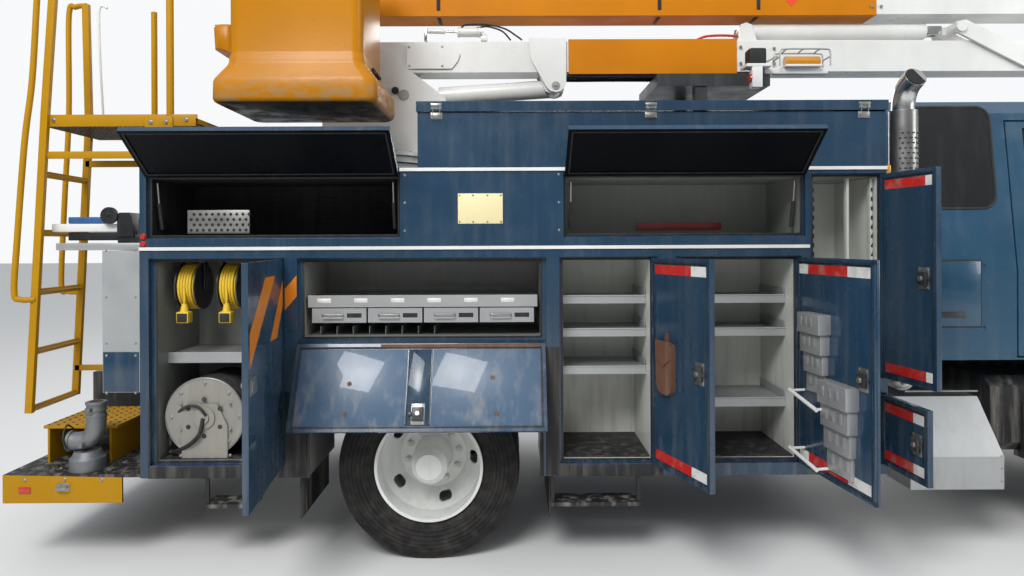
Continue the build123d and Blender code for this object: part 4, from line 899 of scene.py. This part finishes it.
bend([(-2.222, -0.64, 1.439), (-2.33, -0.61, 1.44), (-2.372, -0.605, 1.49), (-2.35, -0.605, 2.0),
      (-2.32, -0.605, 2.56), (-2.317, -0.605, 3.17), (-2.27, -0.61, 3.225), (-2.19, -0.635, 3.225)],
     0.016, 16)
for low, high in (
        ((-2.155, -1.08, 2.4), (-1.3, -0.56, 2.412)), ((-2.155, -1.088, 2.395), (-1.3, -1.079, 2.462)),
        ((-2.155, -0.568, 2.395), (-1.3, -0.56, 2.462)), ((-2.155, -1.088, 2.395), (-2.147, -0.56, 2.44)),
        ((-1.308, -1.088, 2.395), (-1.3, -0.56, 2.44)), ((-1.59, -1.096, 2.382), (-1.433, -1.087, 2.449)),
        ((-2.165, -1.094, 2.215), (-1.5, -1.082, 2.255)), ((-2.19, -0.653, 2.215), (-1.5, far_y, 2.255)),
        ((-1.5, -1.094, 2.215), (-1.46, far_y, 2.255)), ((-1.5, -1.094, 2.143), (-1.46, -1.082, 2.401)),
        ((-1.5, -0.706, 2.143), (-1.46, -0.694, 2.401)), ((-2.262, -0.653, 0.95), (-1.742, far_y, 0.985)),
        ((-1.753, -0.76, 0.95), (-1.7405, far_y, 0.985))):
    plate(low, high, 0.0015)
for x, y, radius in ((-1.455, -1.075, 0.02), (-1.795, -0.58, 0.018)):
    rod((x, y, 2.405), (x, y, 3.2), radius)
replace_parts(settle("ladder_and_platform", ladder_yellow), "ladder")
for x, y, z, size in (
        (-1.555, -1.096, 2.416, 0.010), (-1.47, -1.096, 2.416, 0.010), (-2.10, -1.088, 2.43, 0.010),
        (-1.36, -1.088, 2.43, 0.010), (-2.14, -1.094, 2.235, 0.009), (-1.52, -1.094, 2.235, 0.009)):
    bolt((x, y, z), (0, -1, 0), size)
settle("ladder_bolts", plated)
for near_x, far_x, z in rung_ends:
    for k in range(21):
        t = 0.05 + 0.9 * k / 20
        x, y = near_x + (far_x - near_x) * t, near_y + 0.455 * t
        plate((x - 0.012, y - 0.004, z + 0.0125), (x + 0.012, y + 0.004, z + 0.016), 0.001)
settle("rung_grips", ladder_yellow)
for low_z, high_z in ((2.4115, 2.4165), (2.3965, 2.4005)):
    for x in (-2.14 + k * 0.0245 for k in range(34)):
        plate((x, -1.078, low_z), (x + 0.004, -0.57, high_z), 0)
for low_z, high_z in ((2.3975, 2.4005), (2.4115, 2.4155)):
    for y in (-1.07 + k * 0.0345 for k in range(15)):
        plate((-2.145, y, low_z), (-1.31, y + 0.004, high_z), 0)
settle("platform_grid", dark_paint)
bend([(-2.10, -0.6, 2.40), (-2.125, -0.6, 2.9), (-2.13, -0.6, 3.19), (-2.11, -0.6, 3.235),
      (-2.08, -0.6, 3.22)], 0.007)
settle("aerial_rod", white_enamel)

# Bucket: a moulded fibre tub with rounded corners, a rib, a flared foot that forms the step and a
# rolled rim, open at the top. It is scuffed and bleached low down and bolted to its mount. Its
# underside and lowest edge are painted near black as painted shade.
tub_low_x, tub_high_x, tub_near, tub_far = -1.149, -0.387, -1.037, -0.427


def tub(rings, steps=6):
    """A closed skin through level rounded rectangles, each (z, low x, high x, low y, high y, corner)."""
    loops = []
    for z, x0, x1, y0, y1, corner in rings:
        loop = []
        for cx, cy, start in ((x1 - corner, y1 - corner, 0), (x0 + corner, y1 - corner, 90),
                              (x0 + corner, y0 + corner, 180), (x1 - corner, y0 + corner, 270)):
            for k in range(steps + 1):
                turn = math.radians(start + 90 * k / steps)
                loop.append(bench.verts.new((cx + corner * math.cos(turn), cy + corner * math.sin(turn), z)))
        loops.append(loop)
    for lower, upper in zip(loops, loops[1:]):
        for k in range(len(lower)):
            j = (k + 1) % len(lower)
            bench.faces.new((lower[k], lower[j], upper[j], upper[k]))
    bench.faces.new(loops[0][::-1])
    bench.faces.new(loops[-1])


tub([(z, tub_low_x - wide, tub_high_x + wide, tub_near - near, tub_far + far, corner)
     for z, wide, near, far, corner in (
         (2.5305, 0.06, 0.03, 0.028, 0.06), (2.542, 0.08, 0.044, 0.04, 0.07),
         (2.56, 0.089, 0.05, 0.045, 0.075), (2.655, 0.087, 0.049, 0.044, 0.075),
         (2.675, 0.078, 0.044, 0.04, 0.074),
         (2.755, 0.016, 0.012, 0.012, 0.066), (2.772, 0.009, 0.008, 0.008, 0.064),
         (2.80, 0.008, 0.008, 0.008, 0.064), (2.812, 0.002, 0.002, 0.002, 0.06), (2.83, 0, 0, 0, 0.06),
         (3.545, 0, 0, 0, 0.06), (3.56, 0.009, 0.009, 0.009, 0.068), (3.585, 0.01, 0.01, 0.01, 0.068),
         (3.595, 0.005, 0.005, 0.005, 0.064), (3.595, -0.006, -0.006, -0.006, 0.055),
         (3.58, -0.012, -0.012, -0.012, 0.05), (2.57, -0.012, -0.012, -0.012, 0.05),
         (2.55, -0.03, -0.03, -0.03, 0.04))])
tub([(z, tub_low_x - wide, tub_low_x + 0.011, tub_near + narrow, tub_far - narrow, corner)
     for z, wide, narrow, corner in ((2.84, 0.03, 0.06, 0.02), (2.86, 0.105, 0.05, 0.045),
                                     (2.985, 0.112, 0.05, 0.045), (3.0, 0.1, 0.06, 0.04))])
bucket_shell, tree, shader = finish_of("bucket_shell", specular=0.22)
coated = use(tree, weathered, Paint=(0.46, 0.175, 0.001, 1), Dusting=0.02, Smooth=0.36)
high_up = shading(tree, "SeparateXYZ", {0: shading(tree, "NewGeometry").outputs["Position"]}).outputs[2]
low_band = spread(tree, high_up, 2.72, 2.56)
scuffs = spread(tree, mottle(tree, 0.12, 6.0, (1, 1, 2.2), 0.65), 0.42, 0.62)
scuffed = reckon(tree, "MULTIPLY", low_band, scuffs)
worn_colour = blend_colours(tree, scuffed, coated["Colour"], (0.32, 0.2, 0.08, 1))
# Painted shade: the underside and lowest edge of the foot go near black.
painted_shade_underside = spread(tree, high_up, 2.5375, 2.5305)
tree.links.new(blend_colours(tree, painted_shade_underside, worn_colour, (0.03, 0.025, 0.02, 1)), shader["Base Color"])
tree.links.new(spread(tree, scuffed, 0.0, 1.0, 0.3, 0.7), shader["Roughness"])
grain = shading(tree, "Bump", {"Height": mottle(tree, 0.03, 3.0), "Strength": 0.12, "Distance": 0.004})
tree.links.new(grain.outputs[0], shader["Normal"])
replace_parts(settle("bucket_tub", bucket_shell, "bucket", crisp=40), "bucket")
for x in (-1.252 + 0.02 * k for k in range(5)):
    plate((x, -0.96, 2.998), (x + 0.012, -0.50, 3.003), 0.001)
settle("bucket_tread", rubber, "bucket")
for x in (-0.87, -0.668):
    for z in (3.0, 3.15, 3.3, 3.5):
        bolt((x, -0.405, z), (0, 1, 0), 0.009)
settle("mount_bolts", plated, "bucket")
plate((-0.40, -0.80, 2.72), (-0.362, -0.66, 2.79), 0.006)
for y in (-0.77 + k * 0.045 for k in range(3)):
    rod((-0.362, y, 2.755), (-0.345, y, 2.755), 0.012, 0.010)
settle("bucket_couplings", rubber, "bucket")

# Exhaust: a chromed stack in a slotted steel heat shield, its slots drawn as black strips of painted
# shade, its tip bent outward and back and sooty inside. It is clamped to the cab's back corner.
stack_x, stack_y = 2.625, -1.164
rod((stack_x, stack_y, 0.95), (stack_x, stack_y, 2.44), 0.056, sides=36)
bend([(stack_x, stack_y, 2.38), (stack_x, stack_y, 2.47), (stack_x + 0.002, stack_y - 0.012, 2.53),
      (stack_x + 0.005, stack_y - 0.045, 2.58), (stack_x + 0.01, stack_y - 0.105, 2.616)], 0.059, 36)
bend([(stack_x, stack_y, 1.03), (stack_x, stack_y, 0.97), (stack_x, stack_y + 0.1, 0.95),
      (stack_x, stack_y + 0.56, 0.95)], 0.05, 24)
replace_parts(settle("exhaust_pipe", bright_steel, crisp=50), "exhaust_stack")
rod((stack_x, stack_y, 1.25), (stack_x, stack_y, 2.45), 0.073, sides=48)
shield_steel = paint("shield_steel", (0.26, 0.26, 0.25), smooth=0.3, dusting=0.5, wear=0.1, coat=0.0,
                     metallic=0.9)
settle("heat_shield", shield_steel, crisp=50)
# The shield's slots: black strips of painted shade.
for row in range(38):
    z = 1.30 + row * 0.0275
    for turn in (-128, -108, -88, -68, -48):
        a = math.radians(turn + 10 * (row % 2))
        x, y = stack_x + 0.0725 * math.cos(a), stack_y + 0.0725 * math.sin(a)
        plate((x - 0.0095, y - 0.0018, z), (x + 0.0095, y + 0.0018, z + 0.008), 0.001)
settle("shield_slot_shade", rubber)
rod((stack_x + 0.0095, stack_y - 0.1, 2.613), (stack_x + 0.0105, stack_y - 0.1065, 2.617), 0.0545, sides=36)
soot = paint("pipe_soot", (0.008, 0.008, 0.008), smooth=0.85, dusting=0.1, wear=0.0, coat=0.0)
settle("exhaust_mouth", soot, crisp=50)

# Hose elbow: cast grey iron on a round foot, bolted to the tail's deck, with a banded coupling, its
# clamp wire and an open mouth, drawn as a black disc of painted shade.
foot_x, coupling_x, elbow_y = -1.885, -1.839, -1.14
for low, high, radius, tip in (
        (0.4965, 0.56, 0.092, 0.09), (0.56, 0.572, 0.09, 0.078), (0.572, 0.6, 0.078, 0.066)):
    rod((foot_x, elbow_y, low), (foot_x, elbow_y, high), radius, tip, sides=40)
bend([(foot_x - 0.085, elbow_y, 0.648), (foot_x - 0.05, elbow_y, 0.648), (foot_x, elbow_y, 0.66),
      (foot_x + 0.036, elbow_y, 0.7), (coupling_x, elbow_y, 0.76), (coupling_x, elbow_y, 0.80)], 0.05, 32)
rod((foot_x - 0.098, elbow_y, 0.648), (foot_x - 0.082, elbow_y, 0.648), 0.057, sides=32)
for low, high, radius in (
        (0.78, 0.868, 0.0485), (0.786, 0.799, 0.054), (0.82, 0.833, 0.054), (0.853, 0.866, 0.054)):
    rod((coupling_x, elbow_y, low), (coupling_x, elbow_y, high), radius, sides=32)
rod((coupling_x, elbow_y - 0.05, 0.83), (coupling_x, elbow_y - 0.075, 0.83), 0.012, 0.009, sides=16)
rod((foot_x, elbow_y - 0.05, 0.64), (foot_x, elbow_y - 0.075, 0.64), 0.014, sides=6)
cast_grey = paint("cast_grey", (0.2, 0.21, 0.22), smooth=0.45, dusting=0.5, wear=0.5, coat=0.0,
                  metallic=0.75, orange_peel=0.08)
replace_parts(settle("hose_elbow", cast_grey), "rear_fittings")
# The open mouth: a black disc of painted shade in the bore.
rod((coupling_x, elbow_y, 0.862), (coupling_x, elbow_y, 0.8695), 0.034, sides=28)
settle("hose_mouth_shade", rubber)
bend([(-1.97, -1.195, 0.62), (-1.985, -1.2, 0.68), (-2.0, -1.14, 0.735), (-1.985, -1.08, 0.68),
      (-1.97, -1.085, 0.62)], 0.0045)
vice_dark = paint("vice_dark", (0.02, 0.021, 0.023), smooth=0.4, dusting=0.3, wear=0.8, coat=0.0,
                  metallic=0.4)
settle("elbow_clamp", vice_dark)

# Bench vice: a dark cast body on a galvanised plate that is bolted to the end box, with a white
# channel and a blue bar held in its jaws.
plate((-2.085, -1.1, 1.7015), (-1.56, -0.86, 1.742), 0.004)
settle("vice_plate", galvanised)
plate((-1.79, -1.015, 1.7405), (-1.64, -0.925, 1.79), 0.006)
plate((-2.081, -0.996, 1.757), (-1.77, -0.944, 1.804), 0.004)
prism([(-1.785, 1.78), (-1.785, 1.90), (-1.77, 1.915), (-1.715, 1.915), (-1.70, 1.89), (-1.69, 1.78)],
      -1.026, -0.914)
prism([(-1.665, 1.77), (-1.665, 1.88), (-1.645, 1.9), (-1.61, 1.9), (-1.6, 1.77)], -1.02, -0.92)
rod((-1.824, -1.04, 1.898), (-1.824, -0.9, 1.898), 0.012)
rod((-1.824, -1.04, 1.898), (-1.824, -1.022, 1.898), 0.048, sides=28)
settle("bench_vice", vice_dark)
plate((-2.168, -1.008, 1.806), (-1.79, -0.932, 1.852), 0.005)
settle("vice_channel", white_enamel)
plate((-2.089, -0.984, 1.8535), (-1.84, -0.956, 1.892), 0.005)
fitting_blue = paint("fitting_blue", (0.02, 0.09, 0.25), smooth=0.35, dusting=0.3, wear=0.8)
settle("vice_top", fitting_blue)
for x, z in ((-1.775, 1.79), (-1.655, 1.742)):
    for y in (-1.0, -0.94):
        bolt((x, y, z), (0, 0, 1), 0.008)
settle("vice_bolts", plated)

# Tail: a galvanised end box with a blue access panel, chequered steel decks with pressed studs,
# yellow side plates, and red lamps and reflectors screwed to the black frame.
tint("tail_frame", galvanised, lambda x, y, z: z > 0.9062)
tint("tail_frame", ladder_yellow, lambda x, y, z: abs(y) > 1.232 and z < 0.4795 and x < -1.68)
tint("tail_frame", ladder_yellow, lambda x, y, z: x < -1.78 and -1.036 < y < -0.5 and z > 0.497)
plate((-1.738, side_y - 0.002, 0.94), (-1.546, side_y, 1.155), 0.0006)
settle("tail_access_panel", body_blue)
for x in (-1.72, -1.564):
    for z in (0.935, 1.135):
        bolt((x, side_y - 0.002, z), (0, -1, 0), 0.006)
    for z in (1.2, 1.45, 1.7):
        rod((x, side_y, z), (x, side_y - 0.003, z), 0.006, 0.004, sides=12)
for x in (-2.16, -1.95, -1.75):
    bolt((x, side_y, 0.47), (0, -1, 0), 0.008)
for x in (-2.255, -2.04):
    for y in (-1.13, -0.92):
        bolt((x, y, 0.496), (0, 0, 1), 0.007)
settle("tail_bolts", plated)
for row in range(17):
    for column in range(9):
        x, y = -2.19 + column * 0.055 + 0.0275 * (row % 2), -1.2 + row * 0.034
        if math.hypot(x + 1.89, y + 1.14) > 0.105 and x < -1.74:
            rod((x, y, 0.4955), (x, y, 0.4995), 0.010, 0.006, sides=10)
for row in range(9):
    for column in range(8):
        x, y = -2.185 + column * 0.053, -1.01 + row * 0.053
        rod((x, y, 0.7045), (x, y, 0.709), 0.009, 0.006, sides=10)
settle("deck_studs", dark_paint)
plate((-2.195, side_y - 0.004, 0.395), (-2.13, side_y, 0.43), 0.002)
for y in (-1.1, 0.98):
    plate((-2.2845, y, 0.43), (-2.2805, y + 0.12, 0.47), 0.001)
settle("tail_reflectors", red_lens)
plate((-1.99, side_y - 0.004, 0.405), (-1.92, side_y, 0.45), 0.002)
rod((-1.955, side_y - 0.004, 0.428), (-1.955, side_y - 0.02, 0.428), 0.007)
plate((-1.985, side_y - 0.026, 0.42), (-1.925, side_y - 0.018, 0.436), 0.004)
settle("tail_latch", plated)
for y in (-0.72, -0.60, 0.60, 0.72):
    rod((-2.2805, y, 0.43), (-2.287, y, 0.43), 0.05, 0.044, sides=32)
settle("tail_lamps", red_lens)

# Turret: bolted slew ring, plated pins with keeper bolts through its cheeks and a black disc of
# painted shade for the hole in the near cheek.
for side in (-1, 1):
    rod((-0.288, side * 0.137, 2.767), (-0.288, side * 0.143, 2.767), 0.038, 0.036, sides=28)
    rod((-0.581, side * 0.15, 3.034), (-0.581, side * 0.155, 3.034), 0.042, 0.04, sides=28)
    for x in (-0.519, -0.643):
        bolt((x, side * 0.137, 3.034), (0, side, 0), 0.009)
settle("turret_pins", plated, "turret")
for k in range(24):
    a = 2 * math.pi * k / 24
    bolt((-0.512 + 0.415 * math.cos(a), 0.415 * math.sin(a), 2.345), (0, 0, 1), 0.010)
settle("slew_ring_bolts", plated, "turret")
# Painted shade: a black disc where the near cheek has a hole.
rod((-0.345, -0.1475, 2.795), (-0.345, -0.1505, 2.795), 0.026, sides=28)
settle("turret_hole_shade", rubber, "turret")

# Lower boom: painted steel with welded side plates at both ends of its fibre insert, plated bolts,
# black hoses clamped below it and a small levelling actuator with its hoses on top.
tint("lower_boom", dark_paint, lambda x, y, z: abs(y) > 0.1122)
for x, y, z, size in (
        (-0.25, -0.113, 2.975, 0.007), (-0.25, -0.113, 3.11, 0.007), (-0.02, -0.113, 2.975, 0.007),
        (-0.02, -0.113, 3.11, 0.007), (2.075, -0.112, 2.985, 0.009), (2.31, -0.112, 2.985, 0.009),
        (2.075, -0.112, 3.1, 0.009), (2.31, -0.112, 3.09, 0.009), (0.775, -0.124, 2.834, 0.010)):
    bolt((x, y, z), (0, -1, 0), size)
rod((0.775, -0.112, 2.834), (0.775, -0.124, 2.834), 0.03, 0.028, sides=28)
settle("boom_bolts", plated, "lower_boom")
hose_rows = (-0.085, -0.062, -0.039, 0.05)
for k, y in enumerate(hose_rows):
    bend([(0.70, y, 2.918), (0.86, y, 2.905), (1.2, y, 2.9035 + 0.002 * (k % 2)), (1.6, y, 2.904),
          (1.95, y, 2.905), (2.2, y, 2.918)], 0.0095, steps=6)
for x in (0.95, 1.2, 1.45, 1.7, 1.95):
    plate((x - 0.012, -0.1, 2.9125), (x + 0.012, 0.065, 2.917), 0.001)
    for y in hose_rows:
        hoop((x, y, 2.9045), (1, 0, 0), 0.0105, 0.002, 6, 16)
settle("boom_hoses", rubber, "lower_boom")
barrel_y = -0.06
rod((0.085, barrel_y, 3.224), (0.25, barrel_y, 3.224), 0.033, sides=28)
for x in (0.095, 0.24):
    rod((x - 0.008, barrel_y, 3.224), (x + 0.008, barrel_y, 3.224), 0.036, sides=28)
plate((0.25, -0.085, 3.1595), (0.30, -0.035, 3.19), 0.003)
rod((0.25, barrel_y, 3.224), (0.285, barrel_y, 3.185), 0.016)
rod((-0.13, barrel_y, 3.235), (0.0, barrel_y, 3.231), 0.018)
settle("boom_actuator", boom_white, "lower_boom")
rod((0.0, barrel_y, 3.231), (0.09, barrel_y, 3.226), 0.008)
plate((-0.15, -0.08, 3.1595), (-0.125, -0.04, 3.25), 0.003)
settle("actuator_rod", bright_steel, "lower_boom")
bend([(0.11, -0.075, 3.255), (0.16, -0.085, 3.272), (0.3, -0.088, 3.268), (0.42, -0.088, 3.24),
      (0.5, -0.088, 3.19), (0.54, -0.08, 3.163)], 0.006)
bend([(0.22, -0.075, 3.25), (0.3, -0.08, 3.258), (0.4, -0.08, 3.225), (0.46, -0.075, 3.163)], 0.006)
settle("actuator_hoses", rubber, "lower_boom")
long_plate = [(0.589, 3.165), (0.848, 3.165), (0.848, 2.862), (0.838, 2.822), (0.812, 2.796), (0.775, 2.786),
              (0.735, 2.797), (0.708, 2.825), (0.60, 3.02)]
butt_plate = [(-0.27, 3.13), (0.055, 3.13), (0.105, 3.06), (0.09, 3.01), (0.045, 2.955), (-0.27, 2.955)]
for side in (-1, 1):
    prism(long_plate, *sorted((side * 0.1085, side * 0.118)))
    prism(butt_plate, *sorted((side * 0.1085, side * 0.113)))
settle("boom_side_plates", boom_white, "lower_boom")
bend([(1.78, -0.06, 3.166), (1.85, -0.062, 3.19), (1.98, -0.06, 3.196), (2.09, -0.058, 3.186),
      (2.18, -0.055, 3.16)], 0.009)
settle("red_hose", red_lens, "lower_boom")

# Upper boom: orange fibre with white steel ends, black straps and bolts round it, plated collar
# bolts and a red film diamond stuck on its near face.
tint("upper_boom", boom_white, lambda x, y, z: x > 3.031)
tint("upper_boom", dark_paint, lambda x, y, z: x < -0.8499)
for x in (-0.045, 1.505, 2.2):
    for low_y, high_y in ((-0.117, -0.1152), (0.1152, 0.117)):
        plate((x - 0.013, low_y, 3.36), (x + 0.013, high_y, 3.564), 0.0005)
    plate((x - 0.013, -0.08, 3.319), (x + 0.013, 0.08, 3.321), 0.0005)
for x in (3.5, 4.2, 4.9):
    for side in (-1, 1):
        bolt((x, side * 0.111, 3.50), (0, side, 0), 0.010)
settle("boom_straps", rubber, "upper_boom")
prism([(2.351, 3.462), (2.431, 3.542), (2.511, 3.462), (2.431, 3.382)],
      -0.1152 + film_in, -0.1152 + film_out)
film_red = paint("film_red_orange", (0.75, 0.06, 0.01), smooth=0.4, dusting=0.15, wear=0.0)
settle("boom_diamond", film_red, "upper_boom")
for x in (3.0, 3.06):
    for z in (3.38, 3.462, 3.544):
        for side in (-1, 1):
            bolt((x, side * 0.121, z), (0, side, 0), 0.009)
settle("collar_bolts", plated, "upper_boom")
tint("upper_boom", boom_white,
     lambda x, y, z: 2.979 < x < 3.081 and (abs(y) > 0.1155 or z > 3.603 or z < 3.3215))

# Boom rest: black steel trough. An amber ribbed beacon in a galvanised wire cage, a work lamp and a
# marker are bolted to white brackets on its beam.
dress("boom_rest", dark_paint)
for y in (-0.388, -0.272):
    bend([(2.245, y, 2.90), (2.247, y, 2.99), (2.275, y, 3.008), (2.40, y, 3.01), (2.55, y, 3.008),
          (2.578, y, 2.99), (2.58, y, 2.90)], 0.0055, steps=6)
for x in (2.30, 2.41, 2.52):
    bend([(x, -0.388, 3.009), (x, -0.36, 3.014), (x, -0.30, 3.014), (x, -0.272, 3.009)], 0.005, steps=4)
for x in (2.246, 2.579):
    rod((x, -0.388, 2.96), (x, -0.272, 2.96), 0.005, sides=10)
rod((2.10, -0.33, 2.90), (2.26, -0.30, 2.985), 0.006)
settle("beacon_cage", galvanised)
plate((2.165, -0.33, 2.8595), (2.59, -0.26, 2.90), 0.004)
plate((2.29, -0.372, 2.8985), (2.535, -0.288, 2.915), 0.004)
settle("beacon_base", white_enamel)
rod((2.298, -0.33, 2.938), (2.526, -0.33, 2.938), 0.0355, sides=32)
for x in (2.304 + k * 0.0094 for k in range(24)):
    hoop((x, -0.33, 2.937), (1, 0, 0), 0.0365, 0.0012, 4, 24)
settle("beacon_ribs", amber)
plate((2.045, -0.385, 2.915), (2.16, -0.275, 3.022), 0.014)
settle("work_lamp", rubber)
plate((2.02, -0.40, 2.892), (2.185, -0.262, 2.914), 0.004)
plate((2.057, -0.402, 2.755), (2.125, -0.329, 2.893), 0.004)
rod((2.1, -0.33, 2.86), (2.1, -0.33, 2.895), 0.012)
settle("lamp_base", white_enamel)
rod((2.046, -0.37, 2.82), (2.058, -0.37, 2.82), 0.026, 0.03, sides=24)
settle("rest_marker", red_lens)

# Cab doors: black plastic handles in their recesses, black mouldings and silvered glass in the
# mirror heads. All of it swings with its door.
for side, node in ((-1, "cab_door_right"), (1, "cab_door_left")):
    tint(node, dark_paint, lambda x, y, z: abs(y) > 1.082 and x < 4.3)
    plate((3.40, side * 1.080 - 0.004, 1.60), (3.58, side * 1.080 + 0.004, 1.65), 0.004)
    plate((3.42, side * 1.096 - 0.006, 1.612), (3.56, side * 1.096 + 0.006, 1.636), 0.005)
    for x in (3.43, 3.55):
        rod((x, side * 1.082, 1.624), (x, side * 1.094, 1.624), 0.007)
    settle(f"{node}_handle", dark_paint, node)
    plate((4.160, side * 1.262, 1.72), (4.1648, side * 1.425, 2.30), 0.001)
    settle(f"{node}_mirror_glass", bright_steel, node)

# Cab lockers: a painted steel door flush in a black gap on each side, with a black handle and four
# screws.
for side in (-1, 1):
    plate((2.862, side * 1.0885 - 0.0035, 1.302), (3.018, side * 1.0885 + 0.0035, 1.331), 0.003)
    for x in (2.86, 3.13):
        for z in (1.60, 1.245):
            rod((x, side * 1.085, z), (x, side * 1.089, z), 0.006, 0.005)
settle("cab_locker_handles", dark_paint)
for side in (-1, 1):
    near, far = sorted((side * 1.079, side * 1.0808))
    plate((2.822, near, 1.243), (3.115, far, 1.625), 0)
settle("cab_locker_gaps", rubber)
for side in (-1, 1):
    near, far = sorted((side * 1.079, side * 1.0835))
    plate((2.829, near, 1.25), (3.108, far, 1.618), 0.003)
settle("cab_locker_doors", cab_blue)

# Rear side windows: a dark glass pane with rounded corners in a rubber seal, pressed into the cab's
# sloping side.
pane_lines = []
for side in (-1, 1):
    pane_lines.append([])
    for cx, cz, start in ((3.151, 2.43, 0), (2.779, 2.43, 90), (2.779, 1.996, 180), (3.151, 1.996, 270)):
        for a in (math.radians(start + 15 * k) for k in range(7)):
            x, z = cx + 0.078 * math.cos(a), cz + 0.078 * math.sin(a)
            cab_side_y = 1.08 - max(0.0, z - 1.56) * 0.1111
            pane_lines[-1].append(Vector((x, side * (cab_side_y - 0.004), z)))
for line in pane_lines:
    pipe(line, 0.008, 10, closed=True)
settle("side_window_seals", rubber)
pane_half = Vector((0, 0.002, 0))
for line in pane_lines:
    near, far = ([bench.verts.new(point + step) for point in line] for step in (-pane_half, pane_half))
    bench.faces.new(near)
    bench.faces.new(far[::-1])
    for k in range(len(line)):
        j = (k + 1) % len(line)
        bench.faces.new((near[k], far[k], far[j], near[j]))
dark_glass = paint("dark_glass", (0.006, 0.007, 0.008), smooth=0.04, dusting=0.1, wear=0.0, coat=0.4)
settle("rear_side_panes", dark_glass, crisp=60)

# Windscreen wipers of black steel and rubber on their pivots, and five amber lamps on the roof.
for y in (-0.42, 0.38):
    bend([(4.56, y, 1.80), (4.50, y - 0.05, 1.875), (4.36, y - 0.34, 2.045)], 0.005)
    rod((4.24, y - 0.52, 2.205), (4.47, y - 0.16, 1.915), 0.006)
settle("wipers", rubber)
for y in (-0.6, -0.2, 0.0, 0.2, 0.6):
    plate((3.72, y - 0.045, 2.5672), (3.80, y + 0.045, 2.6), 0.008)
settle("roof_lamps", amber)

# Hood front: headlamps of clear glass beside amber indicators in dark bezels, and a dark grille of
# steel slats. They tilt with the hood.
lamp_glass = paint("lamp_lens", (0.62, 0.64, 0.66), smooth=0.06, dusting=0.15, wear=0.0, coat=1.0,
                   metallic=0.5)
for name, material, slot, low_x, high_x, inner, outer, low_z, high_z in (
        ("headlamp_bezels", dark_paint, "trim", 5.668, 5.691, 0.80, 1.16, 0.915, 1.112),
        ("headlamp_lenses", lamp_glass, "window", 5.684, 5.699, 0.815, 1.065, 0.93, 1.098),
        ("indicators", amber, "trim", 5.684, 5.698, 1.075, 1.15, 0.93, 1.098)):
    for side in (-1, 1):
        near, far = sorted((side * inner, side * outer))
        plate((low_x, near, low_z), (high_x, far, high_z), 0.006)
    settle(name, material, "hood")
tint("hood", dark_paint, lambda x, y, z: 5.667 < x < 5.6925 and abs(y) < 0.441 and 0.845 < z < 1.375)
for z in (0.88 + 0.04 * k for k in range(13)):
    plate((5.660, -0.43, z), (5.668, 0.43, z + 0.008), 0.001)
settle("grille_slats", dark_paint, "hood")

# Storage box behind the tanks: brushed aluminium with a rolled edge and screws.
aluminium = paint("brushed_aluminium", (0.46, 0.47, 0.47), smooth=0.36, dusting=0.5, wear=0.1, coat=0.0,
                  metallic=0.9)
dress("aluminium_box", aluminium)
rod((2.703, -1.0265, 0.874), (3.12, -1.0265, 0.874), 0.006, sides=12)
for x in (2.715, 3.108):
    for z in (0.43, 0.5, 0.57):
        rod((x, -1.2455, z), (x, -1.248, z), 0.005, 0.004, sides=10)
settle("aluminium_box_trim", plated)

bench.free()
